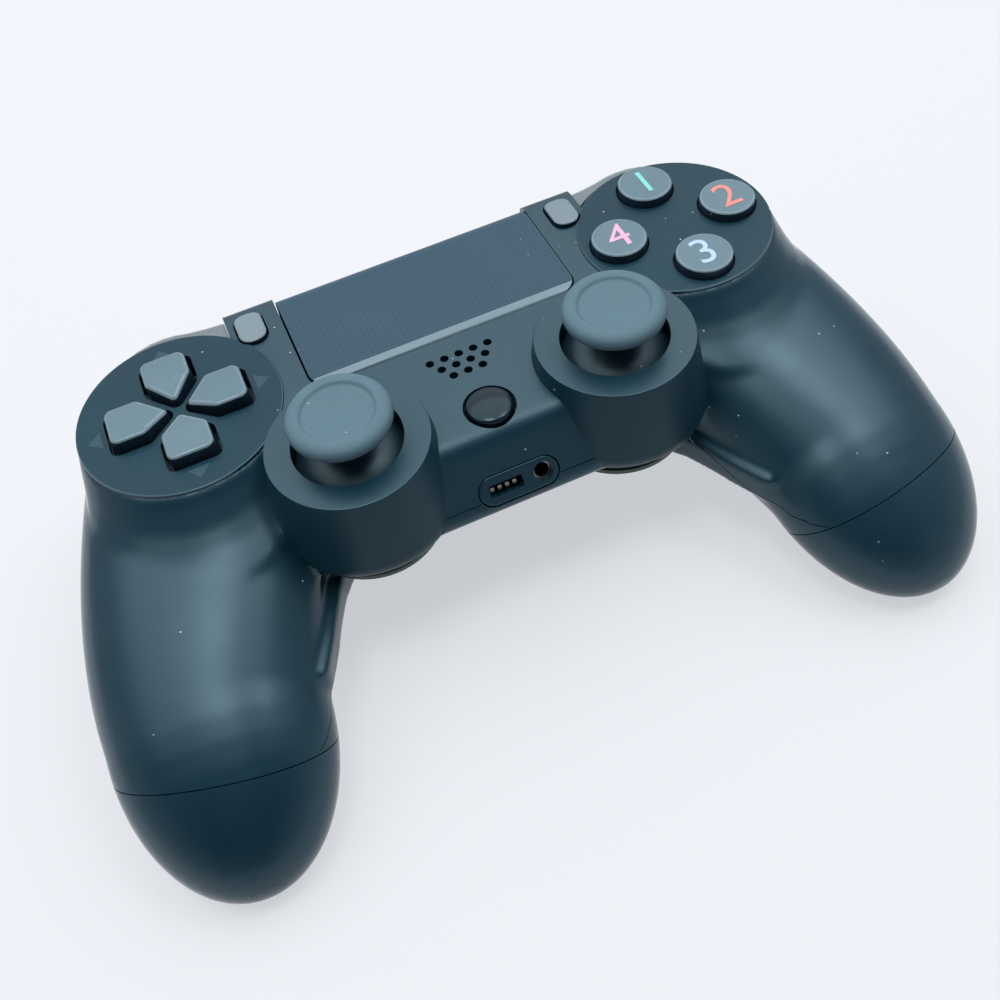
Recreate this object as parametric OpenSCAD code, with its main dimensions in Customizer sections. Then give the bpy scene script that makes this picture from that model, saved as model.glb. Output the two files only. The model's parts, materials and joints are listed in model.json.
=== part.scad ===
// Wireless twin-stick game controller as an assembly of separate pieces.
// X runs to the player's right, Y away from the player, Z up, table at Z = 0.
// Every module works from the button face: seat() carries it to the table frame.

/* [Overall] */
// Height of the button face above the table
face_height = 43; // [40:0.5:46]
// Reach of the grip tips behind the button line
tip_reach = 74.2; // [70:0.1:78]
// Reach of the trigger lips in front of the button line
front_reach = 24.4; // [22:0.1:27]
// Wall of both housing shells
wall = 2.2; // [1.8:0.1:2.6]
// Side gap around every moving key
key_gap = 0.3; // [0.2:0.05:0.5]
// Half of the open seam between the two shells
seam_half = 0.1; // [0.05:0.05:0.2]
// Gap between stacked inner pieces
stack_gap = 0.1; // [0.05:0.05:0.2]
// Running clearance on a pin's radius
pin_clear = 0.05; // [0.02:0.01:0.08]

/* [Centre block] */
// Half length of the block between the grips
block_half = 46; // [44:0.5:48]
// Drop of the top plate below the button face
plate_drop = 0.8; // [0.5:0.1:1.2]
// Front face of the block
block_front = 21.8; // [21:0.1:23]
// Depth of the flat underside below the button face
block_depth = 30.4; // [29:0.1:32]
// Where the top plate starts to bend toward the ports
bend_start = -28; // [-29:0.5:-26]
// Outer edge of the port face
port_edge = -37.6; // [-39:0.1:-36]
// Depth of the port face's outer edge
port_edge_depth = 12.6; // [11:0.1:14]
// Rounding of the front's upper edge
front_round = 6; // [5:0.25:7]
// Rounding of the block's long edges
block_round = 3; // [2:0.25:4]

// Depth of the seam between the shells
part_depth = 10.5; // [10:0.1:11]
// Half width of the middle where the seam stays level
part_x = 39; // [38.5:0.1:39.5]

/* [Grips] */
// Grip axis at the shoulder
grip_start = [51.5, -9.2, -15.2];
// Grip axis control point at mid length
grip_mid = [61, -31, -22.8];
// Side position of the grip axis where the tip starts to round
grip_end_x = 62.7; // [62:0.1:63.5]
// Distance behind the button line where the tip starts to round
grip_end_y = 47; // [45:0.5:49]
// Half widths at shoulder, control point and tip
grip_wide = [21.5, 22, 19.3];
// Half heights at shoulder, control point and tip
grip_high = [14.5, 14.3, 13];
// How far the tip of the grip turns down
tip_drop = 9; // [7:0.25:10]
// Squareness of the section at shoulder and tip
grip_square = [2.6, 2.15];
// Length of the rounded shoulder front
shoulder_round = 26; // [22:0.5:30]

/* [Button drums] */
// Side position of both drums
drum_x = 49.3; // [48:0.1:51]
// Drum radius
drum_r = 18.7; // [18:0.1:19.5]
// Drum wall beside the buttons
drum_wall = 1.2; // [1:0.1:1.4]
// Thickness of the drum's top
drum_top = 3.1; // [2.6:0.1:3.4]
// Depth of the drum's outside
drum_depth = 13; // [12:0.25:14]
// Depth of the drum's inside floor
drum_floor = 11; // [10.5:0.1:11.5]

/* [Stick pods] */
// Side position of the stick axis
stick_x = 24.8; // [24:0.1:26]
// Stick axis behind the button line
stick_y = -23.4; // [-24.5:0.1:-22.5]
// Height of the pod ring above the button face
pod_rise = 3; // [2.5:0.1:3.5]
// Outer radius of the pod ring
pod_r = 14.2; // [13.8:0.1:14.8]
// Radius at the pod's foot
pod_foot_r = 16.9; // [16.4:0.1:17.4]
// Depth of the pod's foot
pod_foot = 14; // [13:0.5:15]
// Radius of the round opening
pod_hole_r = 9.65; // [9.4:0.05:10]

/* [Sticks] */
// Depth of the tilt centre below the button face
pivot_depth = 10; // [9.6:0.1:10.4]
// Radius of the dome that closes the opening
dome_r = 13.5; // [13.2:0.1:13.7]
// Wall of the dome
dome_wall = 1; // [0.8:0.1:1.2]
// Dome edge measured as an angle from the stick
dome_angle = 67; // [65:1:69]
// Top of the cap's rim above the button face
cap_top = 10.8; // [10.2:0.1:11.4]
// Thickness of the cap at its rim
cap_thick = 3.6; // [3.2:0.1:3.8]
// Cap radius
cap_r = 8.95; // [8.6:0.05:9.1]
// Depth of the cap's hollow
cap_dish = 1.2; // [0.8:0.1:1.6]
// Neck radius under the cap
neck_r = 3.4; // [3:0.1:3.6]
// Radius of the inner post
post_r = 2; // [1.8:0.1:2.2]
// Trunnion radius of the gimbal
trunnion_r = 1.4; // [1.2:0.05:1.6]
// Half width of the gimbal ring between the cradle ears
yoke_half = 5.2; // [5:0.1:5.4]
// Half length of the gimbal ring along the stick's pins
yoke_length = 6.2; // [6:0.1:6.6]
// Half height of the gimbal ring
yoke_high = 2.2; // [2:0.1:2.4]
// Bar width of the gimbal ring
yoke_bar = 1.8; // [1.6:0.1:2]
// Thickness of a cradle ear
ear_thick = 2; // [1.8:0.1:2.2]
// Cradle plate's half side
cradle_half = 7.6; // [7.5:0.1:7.8]
// Cradle plate thickness
cradle_thick = 1.2; // [1:0.1:1.4]
// Depth of the cradle plate's top below the tilt centre
cradle_drop = 5.2; // [5:0.1:5.6]
// Click travel of a stick
stick_click = 0.5; // [0.4:0.05:0.6]
// Stick base's half side
stick_base_half = 9.2; // [9:0.1:9.4]
// Floor of the stick base
stick_floor = 1.1; // [1:0.1:1.3]
// Width of a stick's angle sensors
sensor_wide = 8; // [7.5:0.1:8.5]
// Height of a stick's angle sensors
sensor_high = 6.5; // [6:0.1:6.8]
// How far the front angle sensor stands out of the stick base
sensor_front = 2.7; // [2.4:0.1:3]
// How far the side angle sensor stands out of the stick base
sensor_side = 3.2; // [2.8:0.1:3.4]
// How far the angle sensors sink into the stick base
sensor_sink = 0.5; // [0.4:0.1:0.6]
// Room under the cradle for the click switch
click_room = 1.2; // [1.1:0.05:1.4]

/* [Face buttons and direction keys] */
// Distance of a face button from the drum's middle
button_off = 11.6; // [11.2:0.1:12]
// Face button radius
button_r = 5.4; // [5.2:0.05:5.5]
// Rise of a face button above the drum
button_rise = 1.8; // [1.4:0.1:2.2]
// Flange width of a face button
flange_wide = 0.9; // [0.7:0.1:1]
// Flange thickness
flange_thick = 1.4; // [1.2:0.1:1.6]
// Play between a flange and the housing
flange_play = 0.35; // [0.3:0.05:0.5]
// Outer end of a direction key
key_out = 12.5; // [12:0.1:13]
// Shoulder of a direction key
key_shoulder = 5.9; // [5.6:0.1:6.2]
// Inner point of a direction key
key_tip = 1.9; // [1.7:0.1:2.2]
// Half width of a direction key
key_half = 4.2; // [4:0.1:4.4]
// Rise of the direction keys above the drum
key_rise = 2.4; // [2:0.1:2.8]
// Side gap around a direction key
key_rock_gap = 0.75; // [0.65:0.05:0.9]
// Radius of the plate that joins the direction keys
cross_r = 13.6; // [13:0.1:14]
// Depth of that plate's top
cross_depth = 5.1; // [5:0.1:5.4]
// Thickness of that plate
cross_thick = 1.2; // [1:0.1:1.4]
// Radius of the rocking nub
nub_r = 2; // [1.8:0.1:2.4]
// Gap above and below the rocking nub
nub_gap = 0.35; // [0.3:0.05:0.4]
// Depth of the rubber sheets' top
sheet_depth = 8.4; // [8.2:0.1:8.6]
// Thickness of the rubber sheets
sheet_thick = 0.5; // [0.4:0.1:0.6]
// Radius of a rubber dome
rubber_r = 3.2; // [3:0.1:3.4]
// Gap between a rubber dome and its key
rubber_gap = 0.3; // [0.2:0.05:0.4]
// Rubber domes under the direction keys, distance from the middle
cross_dome_off = 9.4; // [9:0.1:10]

/* [Menu and home buttons] */
// Side position of the menu buttons
menu_x = 32.3; // [32:0.1:32.6]
// Menu buttons in front of the button line
menu_y = 13.8; // [13.4:0.1:14.2]
// Menu button width
menu_wide = 4.8; // [4.4:0.1:5]
// Menu button length
menu_long = 8; // [7.6:0.1:8.4]
// Rise of the menu buttons above the top plate
menu_rise = 1.2; // [0.8:0.1:1.4]
// Length of a menu button's end tabs
menu_tab = 0.8; // [0.6:0.1:0.9]
// Home button behind the button line
home_y = -25; // [-25.6:0.1:-24.6]
// Home button radius
home_r = 4.15; // [4:0.05:4.3]
// Rise of the home button above the top plate
home_rise = 1.2; // [0.8:0.1:1.5]
// Free room under the home button's flange
home_room = 0.9; // [0.8:0.1:1.1]
// Body of a small click switch, side
switch_side = 4.4; // [4:0.1:4.8]
// Plunger radius of a small click switch
switch_r = 1.2; // [1:0.1:1.4]
// Room between a plunger and its key
switch_room = 0.9; // [0.8:0.05:1]
// Travel of the menu and home buttons
click_travel = 0.6; // [0.5:0.05:0.7]

/* [Touch pad] */
// Half width of the touch pad
pad_half = 26; // [25.5:0.1:26.5]
// Near edge of the touch pad
pad_near = -6; // [-6.3:0.1:-5.6]
// Corner radius of the touch pad
pad_corner = 3; // [2:0.25:3.5]
// Rise of the touch pad above the top plate
pad_rise = 0.9; // [0.6:0.1:1.1]
// Touch pad thickness
pad_thick = 1.6; // [1.4:0.1:1.8]
// Depth of the front lip below the top plate
pad_lip = 5.4; // [5:0.1:6]
// Gap around the touch pad
pad_gap = 0.35; // [0.3:0.05:0.5]
// Margin of the sensor board inside the pad
board_margin = 2; // [1.6:0.1:2.4]
// Thickness of all circuit boards
board_thick = 1; // [0.8:0.1:1.2]
// Far side of the touch pad's ribbon, counted to the left
ribbon_x = 16; // [15:0.5:17]
// Width of the touch pad's ribbon
ribbon_wide = 8; // [7:0.5:9]
// Thickness of the touch pad's ribbon
ribbon_thick = 0.3; // [0.2:0.05:0.4]
// Room between the ribbon's end and the touch pad's board
ribbon_room = 0.7; // [0.5:0.1:0.9]

/* [Grille] */
// First row of sound holes behind the button line
grille_y = -10.9; // [-11.2:0.1:-10.6]
// Sideways pitch of the sound holes
grille_pitch = 2.8; // [2.6:0.05:3]
// Row pitch of the sound holes
grille_row = 2.27; // [2.1:0.05:2.4]
// Sound hole radius
grille_r = 0.8; // [0.7:0.05:0.9]
// Speaker radius
speaker_r = 6.2; // [5.8:0.1:6.4]

/* [Front] */
// Half width of the light window
light_half = 21; // [20:0.5:22]
// Depth of the light window's upper edge
light_top = 9; // [8.6:0.1:9.6]
// Height of the light window
light_high = 9.6; // [9:0.1:10]
// Flange of the light window inside the wall
light_flange = 1.2; // [1:0.1:1.4]
// Width of the charging socket
usb_wide = 7.5; // [7.3:0.1:7.7]
// Height of the charging socket
usb_high = 2.7; // [2.5:0.1:2.9]
// Length of the charging socket
usb_long = 5.6; // [5.4:0.1:6]
// Depth of the charging socket's middle
usb_depth = 22.4; // [22:0.1:22.8]

/* [Port face] */
// Half length of the port bezel's straight part
bezel_half = 4.7; // [4.5:0.1:5]
// Half height of the port bezel
bezel_r = 2.8; // [2.6:0.1:3]
// Bezel thickness
bezel_thick = 3; // [2.8:0.1:3.2]
// Distance of the ports below the start of the port face
port_down = 9; // [8.8:0.1:9.2]
// Headset socket's side position
jack_x = 4.6; // [4.4:0.1:4.8]
// Bore radius of the headset socket
jack_r = 1.8; // [1.76:0.01:1.85]
// Bore depth of the headset socket
jack_long = 13; // [12.5:0.1:14]
// Wall of the headset socket
jack_wall = 0.7; // [0.6:0.1:0.8]
// Middle of the extension slot
slot_x = -2.4; // [-2.6:0.1:-2.2]
// Extension slot width
slot_wide = 6.2; // [6:0.1:6.4]
// Extension slot height
slot_high = 2.2; // [2:0.1:2.4]

/* [Bumpers and triggers] */
// Inner side of the bumper and trigger pocket
pocket_x = 36; // [35.8:0.1:36.4]
// Rear wall of the trigger pocket
pocket_y = 11; // [10.8:0.1:11.2]
// Gap between a bumper and its drum
bumper_gap = 1; // [0.9:0.05:1.1]
// Radius of the bumper's front curve
bumper_arc = 14; // [13:0.1:15]
// Side position of the middle of the bumper's front curve
bumper_x = 48; // [47:0.1:49]
// Middle of the bumper's front curve before the button line
bumper_y = 9.5; // [9:0.1:10]
// Depth of the bumper's top below the button face
bumper_top = 1.4; // [1:0.1:1.8]
// Outer end of the bumper as an angle
bumper_end = 46; // [44:1:50]
// Bumper pin's side position
hinge_x = 39.6; // [39.4:0.1:39.8]
// Bumper pin's position in front of the button line
hinge_y = 18.3; // [18.2:0.1:18.5]
// Bumper pin radius
hinge_r = 0.8; // [0.7:0.05:0.9]
// Wall around the bumper pin
hinge_wall = 0.8; // [0.7:0.05:0.9]
// Trigger pin in front of the button line
trigger_y = 15; // [14.8:0.1:15.2]
// Trigger pin's depth
trigger_depth = 18.8; // [18.6:0.1:19.2]
// Trigger pin radius
trigger_r = 1.5; // [1.4:0.05:1.6]
// Wall of the trigger hub
trigger_hub = 1.4; // [1.3:0.1:1.6]
// Width of a trigger
trigger_wide = 20.6; // [20:0.1:21]
// Thickness of the trigger's finger plate
trigger_plate = 2.4; // [2.2:0.1:2.8]
// Thickness of the trigger bracket
bracket_thick = 1.6; // [1.4:0.1:1.8]
// Side gap between a trigger and its bracket
trigger_gap = 0.35; // [0.3:0.05:0.5]
// Wire radius of the trigger springs
spring_wire = 0.4; // [0.35:0.05:0.45]
// Length of a trigger spring's coil
spring_long = 3; // [2.6:0.1:3.2]

/* [Inner pieces] */
// Thickness of the inner frame
frame_thick = 1.5; // [1.3:0.1:1.6]
// Half width of the frame's cross bar
frame_bar = 8.4; // [8:0.1:8.6]
// Half width of the frame's tongue under the home button
frame_tongue = 8; // [7.6:0.1:8.4]
// Half length of the main board
main_half = 40; // [39:0.5:41]
// Front edge of the main board
main_front = 9.4; // [9:0.1:9.8]
// Half length of the battery
battery_half = 28; // [27:0.5:29]
// Battery's near edge
battery_near = -19; // [-20:0.5:-18]
// Battery's width across
battery_wide = 30; // [29:0.5:31]
// Wall of the battery tray
tray_wall = 1.2; // [1:0.1:1.4]
// Rumble motor's axis behind the button line
motor_y = -37; // [-38:0.5:-36]
// Rumble motor's axis below the middle line of the grip
motor_drop = 1.2; // [0.8:0.1:1.6]
// Rumble motor's inner end
motor_x = 50; // [49:0.5:51]
// Rumble motor radius
motor_r = 6; // [5.6:0.1:6.4]
// Rumble motor length
motor_long = 12; // [11:0.5:13]
// Radius of the off-centre weight
weight_r = 7; // [6.6:0.1:7.4]
// Length of the off-centre weight
weight_long = 5; // [4.5:0.5:6]
// Motor shaft radius
shaft_r = 1; // [0.9:0.05:1.1]
// Gap between a motor and its weight
weight_gap = 1; // [0.8:0.1:1.2]

/* [Shell screws] */
// Front screws, side and depth position
screw_front = [43.5, -18];
// Rear screws, side and depth position
screw_rear = [61, -51];
// Seat depth of the front screw heads
seat_front = 26.6; // [26:0.1:27.4]
// Seat depth of the rear screw heads
seat_rear = 37.4; // [36.8:0.1:38]
// Screw shank radius
screw_r = 1.2; // [1.1:0.05:1.3]
// Screw head radius
head_r = 2.2; // [2:0.1:2.4]
// Screw head height
head_high = 1.8; // [1.6:0.1:2]
// Screw length above its seat
screw_long = 9; // [8:0.5:10]
// Boss wall around a screw
boss_wall = 1.6; // [1.4:0.1:1.8]

/* [Hidden] */
$fn = 48;
face_y = (tip_reach - front_reach) / 2;
plate_z = -plate_drop;
tip_high = sqrt(grip_high[2] * grip_high[2] + tip_drop * tip_drop);
grip_end = [grip_end_x, -grip_end_y, tip_high - face_height];
pod_points = 56;
ring_points = 32;
steps_cap = [80, 64, 48, 32, 16];
// The port face leans by the slope of its outline.
port_lean = atan2(bend_start - 2.8 - port_edge, port_edge_depth - 1.8);
port_y = bend_start - 2.8 - port_down * sin(port_lean);
port_z = -1.8 - port_down * cos(port_lean);
// Heights of the inner stack, counted down from the button face.
frame_z = -sheet_depth - sheet_thick - stack_gap;
cradle_z = -pivot_depth - cradle_drop;
stick_floor_z = cradle_z - cradle_thick - click_room;
main_z = stick_floor_z - stick_floor - stack_gap;
tray_z = main_z - board_thick - stack_gap;
battery_z = tray_z - tray_wall - stack_gap;
inner_floor_z = -block_depth + wall;
battery_high = battery_z - inner_floor_z - stack_gap;
key_pivot_z = -4.5;
dome_hole_r = dome_r + 0.6;
drum_in_r = drum_r - drum_wall;
bumper_r = drum_r + bumper_gap;
bumper_low = drum_depth - 0.6;
trigger_mid = pocket_x + bracket_thick + 0.6 + trigger_gap + trigger_wide / 2;
ear_hole_r = trunnion_r + pin_clear;
motor_depth = motor_drop - grip_at(0.75)[2];

module seat() {
  translate([0, face_y, face_height])
    children();
}

module along_x(at, length) {
  translate(at)
    rotate([0, 90, 0])
      linear_extrude(height = length)
        children();
}

module side_plate(from, length) {
  translate([from, 0, 0])
    rotate([90, 0, 90])
      linear_extrude(height = length)
        children();
}

module box(low, high) {
  translate(low)
    cube(high - low);
}

// The grips are lofted through upright sections along a curved axis.
function bend(p, t) = (1 - t) * (1 - t) * p[0] + 2 * t * (1 - t) * p[1] + t * t * p[2];
function grip_at(t) = bend([grip_start, grip_mid, grip_end], t);
function grip_way(t) = (1 - t) * (grip_mid - grip_start) + t * (grip_end - grip_mid);
function grip_yaw(t) = atan2(grip_way(t)[0], -grip_way(t)[1]);
function squared(c, n) = sign(c) * pow(abs(c), 2 / n);
function section(t, push, lean, shrink, inset, drop) =
  let (c = grip_at(t), a = grip_yaw(t),
       n = grip_square[0] + (grip_square[1] - grip_square[0]) * t,
       w = (bend(grip_wide, t) - inset) * shrink,
       h = (bend(grip_high, t) - inset) * shrink)
  [for (i = [0 : ring_points - 1])
    let (q = 360 * i / ring_points, u = w * squared(cos(q), n), v = h * squared(sin(q), n))
    [c[0] + u * cos(a) + push * sin(a * lean), c[1] + u * sin(a) - push * cos(a * lean),
     c[2] + v - drop]];
function grip_rings(inset) = concat(
  [for (q = steps_cap)
    section(0, -(shoulder_round - inset) * sin(q), 0, pow(1 - pow(sin(q), 3), 1 / 3), inset, 0)],
  [for (i = [0 : 10]) section(i / 10, 0, 1, 1, inset, 0)],
  [for (j = [0 : 4]) let (q = steps_cap[4 - j])
    section(1, (tip_reach + grip_end[1] - inset) * sin(q) / sin(steps_cap[0]), 1, cos(q), inset,
      tip_drop * sin(q))]);

module loft(rings) {
  n = len(rings[0]);
  m = len(rings);
  polyhedron(
    points = [for (r = rings) for (p = r) p],
    faces = concat(
      [[for (i = [0 : n - 1]) i]],
      [for (j = [0 : m - 2]) for (i = [0 : n - 1])
        [j * n + i, (j + 1) * n + i, j * n + (i + 1) % n]],
      [for (j = [0 : m - 2]) for (i = [0 : n - 1])
        [j * n + (i + 1) % n, (j + 1) * n + i, (j + 1) * n + (i + 1) % n]],
      [[for (i = [n - 1 : -1 : 0]) (m - 1) * n + i]]));
}

module both() {
  children();
  mirror([1, 0, 0])
    children();
}

module block_outline() {
  offset(r = block_round)
    offset(delta = -block_round)
      polygon([[bend_start, plate_z], [block_front - front_round, plate_z],
        [block_front - 0.29 * front_round, plate_z - 0.29 * front_round],
        [block_front, plate_z - front_round], [block_front, 4 - block_depth],
        [block_front - 7, -block_depth], [bend_start + 4, -block_depth],
        [port_edge + 2, -port_edge_depth - 8], [port_edge, -port_edge_depth],
        [bend_start - 2.8, -1.8]]);
}

module block_plan() {
  polygon([[-block_half, 40], [block_half, 40], [block_half, -6], [34, -19], [29, -50],
    [-29, -50], [-34, -19], [-block_half, -6]]);
}

module block(inset) {
  intersection() {
    translate([-block_half, 0, 0])
      rotate([90, 0, 90])
        linear_extrude(height = 2 * block_half)
          offset(delta = -inset)
            block_outline();
    translate([0, 0, -50])
      linear_extrude(height = 60)
        offset(delta = -inset)
          block_plan();
  }
}

module pod_outside() {
  translate([stick_x, stick_y, 0])
    rotate_extrude($fn = pod_points)
      polygon([[0, pod_rise], [pod_r, pod_rise], [pod_foot_r, -pod_foot],
        [pod_foot_r - 0.5, -pod_foot - 4], [pod_foot_r - 2.1, 7.4 - block_depth],
        [pod_foot_r - 5.9, 2.9 - block_depth], [pod_foot_r - 10, 0.7 - block_depth],
        [0, 0.2 - block_depth]]);
}

module pod_inside() {
  translate([stick_x, stick_y, 0]) {
    translate([0, 0, -pivot_depth])
      sphere(r = dome_hole_r, $fn = pod_points);
    rotate_extrude($fn = pod_points)
      polygon([[0, -pivot_depth], [dome_hole_r, -pivot_depth], [pod_foot_r - wall, -pod_foot],
        [pod_foot_r - wall - 0.5, -pod_foot - 4], [pod_foot_r - wall - 1.6, 7.6 - block_depth],
        [pod_foot_r - wall - 5, wall + 2.2 - block_depth], [4, wall + 1.2 - block_depth],
        [0, wall + 1.2 - block_depth]]);
  }
}

// The pocket in front of each drum takes the bumper above and the trigger below.
module pocket(grow) {
  translate([0, 0, -drum_depth - grow])
    linear_extrude(height = 40)
      difference() {
        offset(delta = grow)
          intersection() {
            translate([drum_x, 0])
              polygon([[0, 0], [60 * cos(bumper_end - 2.3), 60 * sin(bumper_end - 2.3)], [0, 60],
                [-60, 60], [-60, 0]]);
            translate([pocket_x, pocket_y - 3])
              square([60, 60]);
          }
        translate([drum_x, 0])
          circle(r = drum_r - 0.7 - grow * drum_wall / wall);
      }
  box([pocket_x + 0.3 - grow, pocket_y - grow, -60], [80, 60, -drum_depth + grow]);
}

module outside() {
  difference() {
    union() {
      block(0);
      both() {
        loft(grip_rings(0));
        pod_outside();
      }
    }
    both()
      pocket(0);
  }
  both()
    translate([drum_x, 0, -drum_depth])
      cylinder(r = drum_r, h = drum_depth, $fn = pod_points);
}

module inside() {
  difference() {
    union() {
      block(wall);
      both() {
        loft(grip_rings(wall));
        pod_inside();
      }
    }
    both()
      pocket(wall);
  }
  both()
    drum_well();
}

// The round room under a disc.
module drum_well() {
  translate([drum_x, 0, -drum_floor])
    cylinder(r = drum_in_r, h = drum_floor - drum_top, $fn = pod_points);
}

// Everything above the seam belongs to the top shell, except the grip ends.
module above(gap) {
  difference() {
    union() {
      side_plate(-part_x, 2 * part_x)
        polygon([[60, -part_depth + gap], [port_edge + 1.1, -part_depth + gap],
          [stick_y - pod_foot_r - 1.2, -pod_foot + 0.5 + gap], [-80, -pod_foot + 0.5 + gap],
          [-80, 40], [60, 40]]);
      both()
        side_plate(part_x - 0.2, 80)
          polygon([[60, -drum_depth - 0.7 + gap], [-2, -drum_depth - 0.7 + gap],
            [grip_start[1], grip_start[2] - 0.8 + gap],
            [grip_at(0.5)[1], grip_at(0.5)[2] - 1 + gap],
            [grip_end[1] - 33, grip_end[2] - 7 + gap],
            [grip_end[1] - 33, 40], [60, 40]]);
    }
    both()
      translate([grip_end[0] - 0.7, grip_end[1] - 12.4 + gap, 0])
        rotate([0, 0, 12.5])
          box([-26, -60, -60], [40, 0, 60]);
  }
}

module key_shape(grow) {
  hull() {
    for (p = [[key_tip, 0], [key_shoulder, key_half], [key_shoulder, -key_half],
        [key_out, key_half], [key_out, -key_half]])
      translate([p[0] + (p[0] > key_shoulder ? -0.8 : 0.8),
          p[1] - sign(p[1]) * 0.8])
        circle(r = 0.8 + grow, $fn = 24);
  }
}

module capsule(wide, long) {
  hull() {
    for (s = [-1, 1])
      translate([0, s * (long - wide) / 2])
        circle(r = wide / 2, $fn = 28);
  }
}

module pad_shape(grow) {
  hull() {
    for (s = [-1, 1]) {
      translate([s * (pad_half - pad_corner), pad_near + pad_corner])
        circle(r = pad_corner + grow, $fn = 32);
      translate([s * (pad_half + grow - 0.5), block_front])
        circle(r = 0.5, $fn = 16);
    }
  }
}

module bezel_shape(grow) {
  hull() {
    for (s = [-1, 1])
      translate([s * bezel_half, 0])
        circle(r = bezel_r + grow, $fn = 32);
  }
}

module port_frame() {
  translate([0, port_y, port_z])
    rotate([-port_lean, 0, 0])
      rotate([90, 0, 0])
        children();
}

module grille() {
  for (row = [0 : 2])
    for (i = [0 : 4 - row])
      translate([(i - (4 - row) / 2) * grille_pitch, grille_y - row * grille_row, -6])
        cylinder(r = grille_r, h = 10, $fn = 12);
}

module key_holes() {
  translate([-drum_x, 0, -drum_top - 1])
    for (a = [0 : 90 : 270])
      rotate([0, 0, a])
        linear_extrude(height = 10)
          key_shape(key_rock_gap);
  for (a = [0 : 90 : 270])
    translate([drum_x, 0, -drum_top - 1])
      rotate([0, 0, a])
        translate([button_off, 0, 0])
          cylinder(r = button_r + key_gap, h = 10, $fn = 38);
  both() {
    translate([menu_x, menu_y, -10])
      linear_extrude(height = 20)
        capsule(menu_wide + 2 * key_gap, menu_long + 2 * key_gap);
    box([menu_x - menu_wide / 2 - 0.5, menu_y - menu_long / 2 - menu_tab - 1, frame_z - 4],
      [menu_x + menu_wide / 2 + 0.5, menu_y + menu_long / 2 + menu_tab + 0.5, plate_z - wall]);
    translate([stick_x, stick_y, -pivot_depth])
      cylinder(r = pod_hole_r, h = 30, $fn = pod_points);
  }
  translate([0, home_y, -10])
    cylinder(r = home_r + key_gap, h = 20, $fn = 40);
  translate([0, home_y, plate_z - wall - flange_play - flange_thick - home_room])
    cylinder(r = home_r + flange_wide + key_gap,
      h = flange_play / 2 + flange_thick + home_room, $fn = 40);
  translate([0, 0, plate_z - pad_lip - pad_gap])
    linear_extrude(height = 20)
      pad_shape(pad_gap);
}

module front_holes() {
  box([-light_half - key_gap, block_front - wall - 1, -light_top - light_high - key_gap],
    [light_half + key_gap, block_front + 5, -light_top + key_gap]);
  box([-usb_wide / 2 - key_gap, block_front - wall - 3, -usb_depth - usb_high / 2 - key_gap],
    [usb_wide / 2 + key_gap, block_front + 5, -usb_depth + usb_high / 2 + key_gap]);
  port_frame()
    translate([0, 0, -wall - 3])
      linear_extrude(height = 20)
        bezel_shape(stack_gap);
}

module screw_spots() {
  both() {
    translate([screw_front[0], screw_front[1], -seat_front])
      children();
    translate([screw_rear[0], screw_rear[1], -seat_rear])
      children();
  }
}

module skin() {
  difference() {
    outside();
    inside();
  }
}

module top_shell() {
  color([0.1, 0.14, 0.17])
    seat() {
      difference() {
        union() {
          intersection() {
            skin();
            above(seam_half);
          }
          difference() {
            intersection() {
              outside();
              above(seam_half - 20);
              screw_spots()
                translate([0, 0, wall + 2 * seam_half])
                  cylinder(r = screw_r + boss_wall, h = 40, $fn = 24);
            }
            both()
              drum_well();
          }
        }
        key_holes();
        front_holes();
        grille();
        screw_spots()
          cylinder(r = screw_r + pin_clear, h = screw_long + 1, $fn = 24);
      }
    }
}

module bottom_shell() {
  color([0.09, 0.12, 0.15])
    seat() {
      difference() {
        union() {
          difference() {
            skin();
            above(-seam_half);
          }
          intersection() {
            outside();
            union() {
              screw_spots()
                translate([0, 0, -10])
                  cylinder(r = head_r + boss_wall, h = 10 + wall, $fn = 24);
              both()
                difference() {
                  box([motor_x + 2, motor_y - 4, -60],
                    [motor_x + motor_long - 2, motor_y + 4, -motor_depth - 2]);
                  along_x([0, motor_y, -motor_depth], 100)
                    circle(r = motor_r + stack_gap, $fn = 32);
                }
            }
          }
        }
        front_holes();
        key_holes();
        screw_spots() {
          translate([0, 0, -20])
            cylinder(r = head_r + 0.25, h = 20, $fn = 24);
          translate([0, 0, -20])
            cylinder(r = screw_r + 0.35, h = 40, $fn = 24);
        }
      }
    }
}

module touchpad_cover() {
  edge_y = block_front - front_round;
  edge_z = plate_z + pad_rise - front_round;
  color([0.26, 0.32, 0.37])
    seat() {
      intersection() {
        translate([0, 0, plate_z + pad_rise - pad_thick])
          linear_extrude(height = pad_thick)
            pad_shape(0);
        box([-60, -60, -60], [60, edge_y + 0.05, 60]);
      }
      side_plate(-pad_half, 2 * pad_half)
        intersection() {
          translate([edge_y, edge_z])
            difference() {
              circle(r = front_round);
              circle(r = front_round - pad_thick);
            }
          translate([edge_y, edge_z])
            square(60);
        }
      box([-pad_half, block_front - pad_thick, plate_z - pad_lip],
        [pad_half, block_front, edge_z + 0.05]);
    }
}

module touch_sensor_board() {
  color([0.1, 0.35, 0.2])
    seat()
      box([-pad_half + board_margin, pad_near + board_margin + 1,
          plate_z + pad_rise - pad_thick - board_thick],
        [pad_half - board_margin, block_front - front_round - board_margin,
          plate_z + pad_rise - pad_thick]);
}

module click_switch(high) {
  translate([-switch_side / 2, -switch_side / 2, 0])
    cube([switch_side, switch_side, high - 1]);
  cylinder(r = switch_r, h = high);
}

module touch_switch() {
  color([0.6, 0.6, 0.62])
    seat()
      translate([0, -1, frame_z + stack_gap])
        click_switch(plate_z + pad_rise - pad_thick - board_thick - switch_room
          - frame_z - stack_gap);
}

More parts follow.
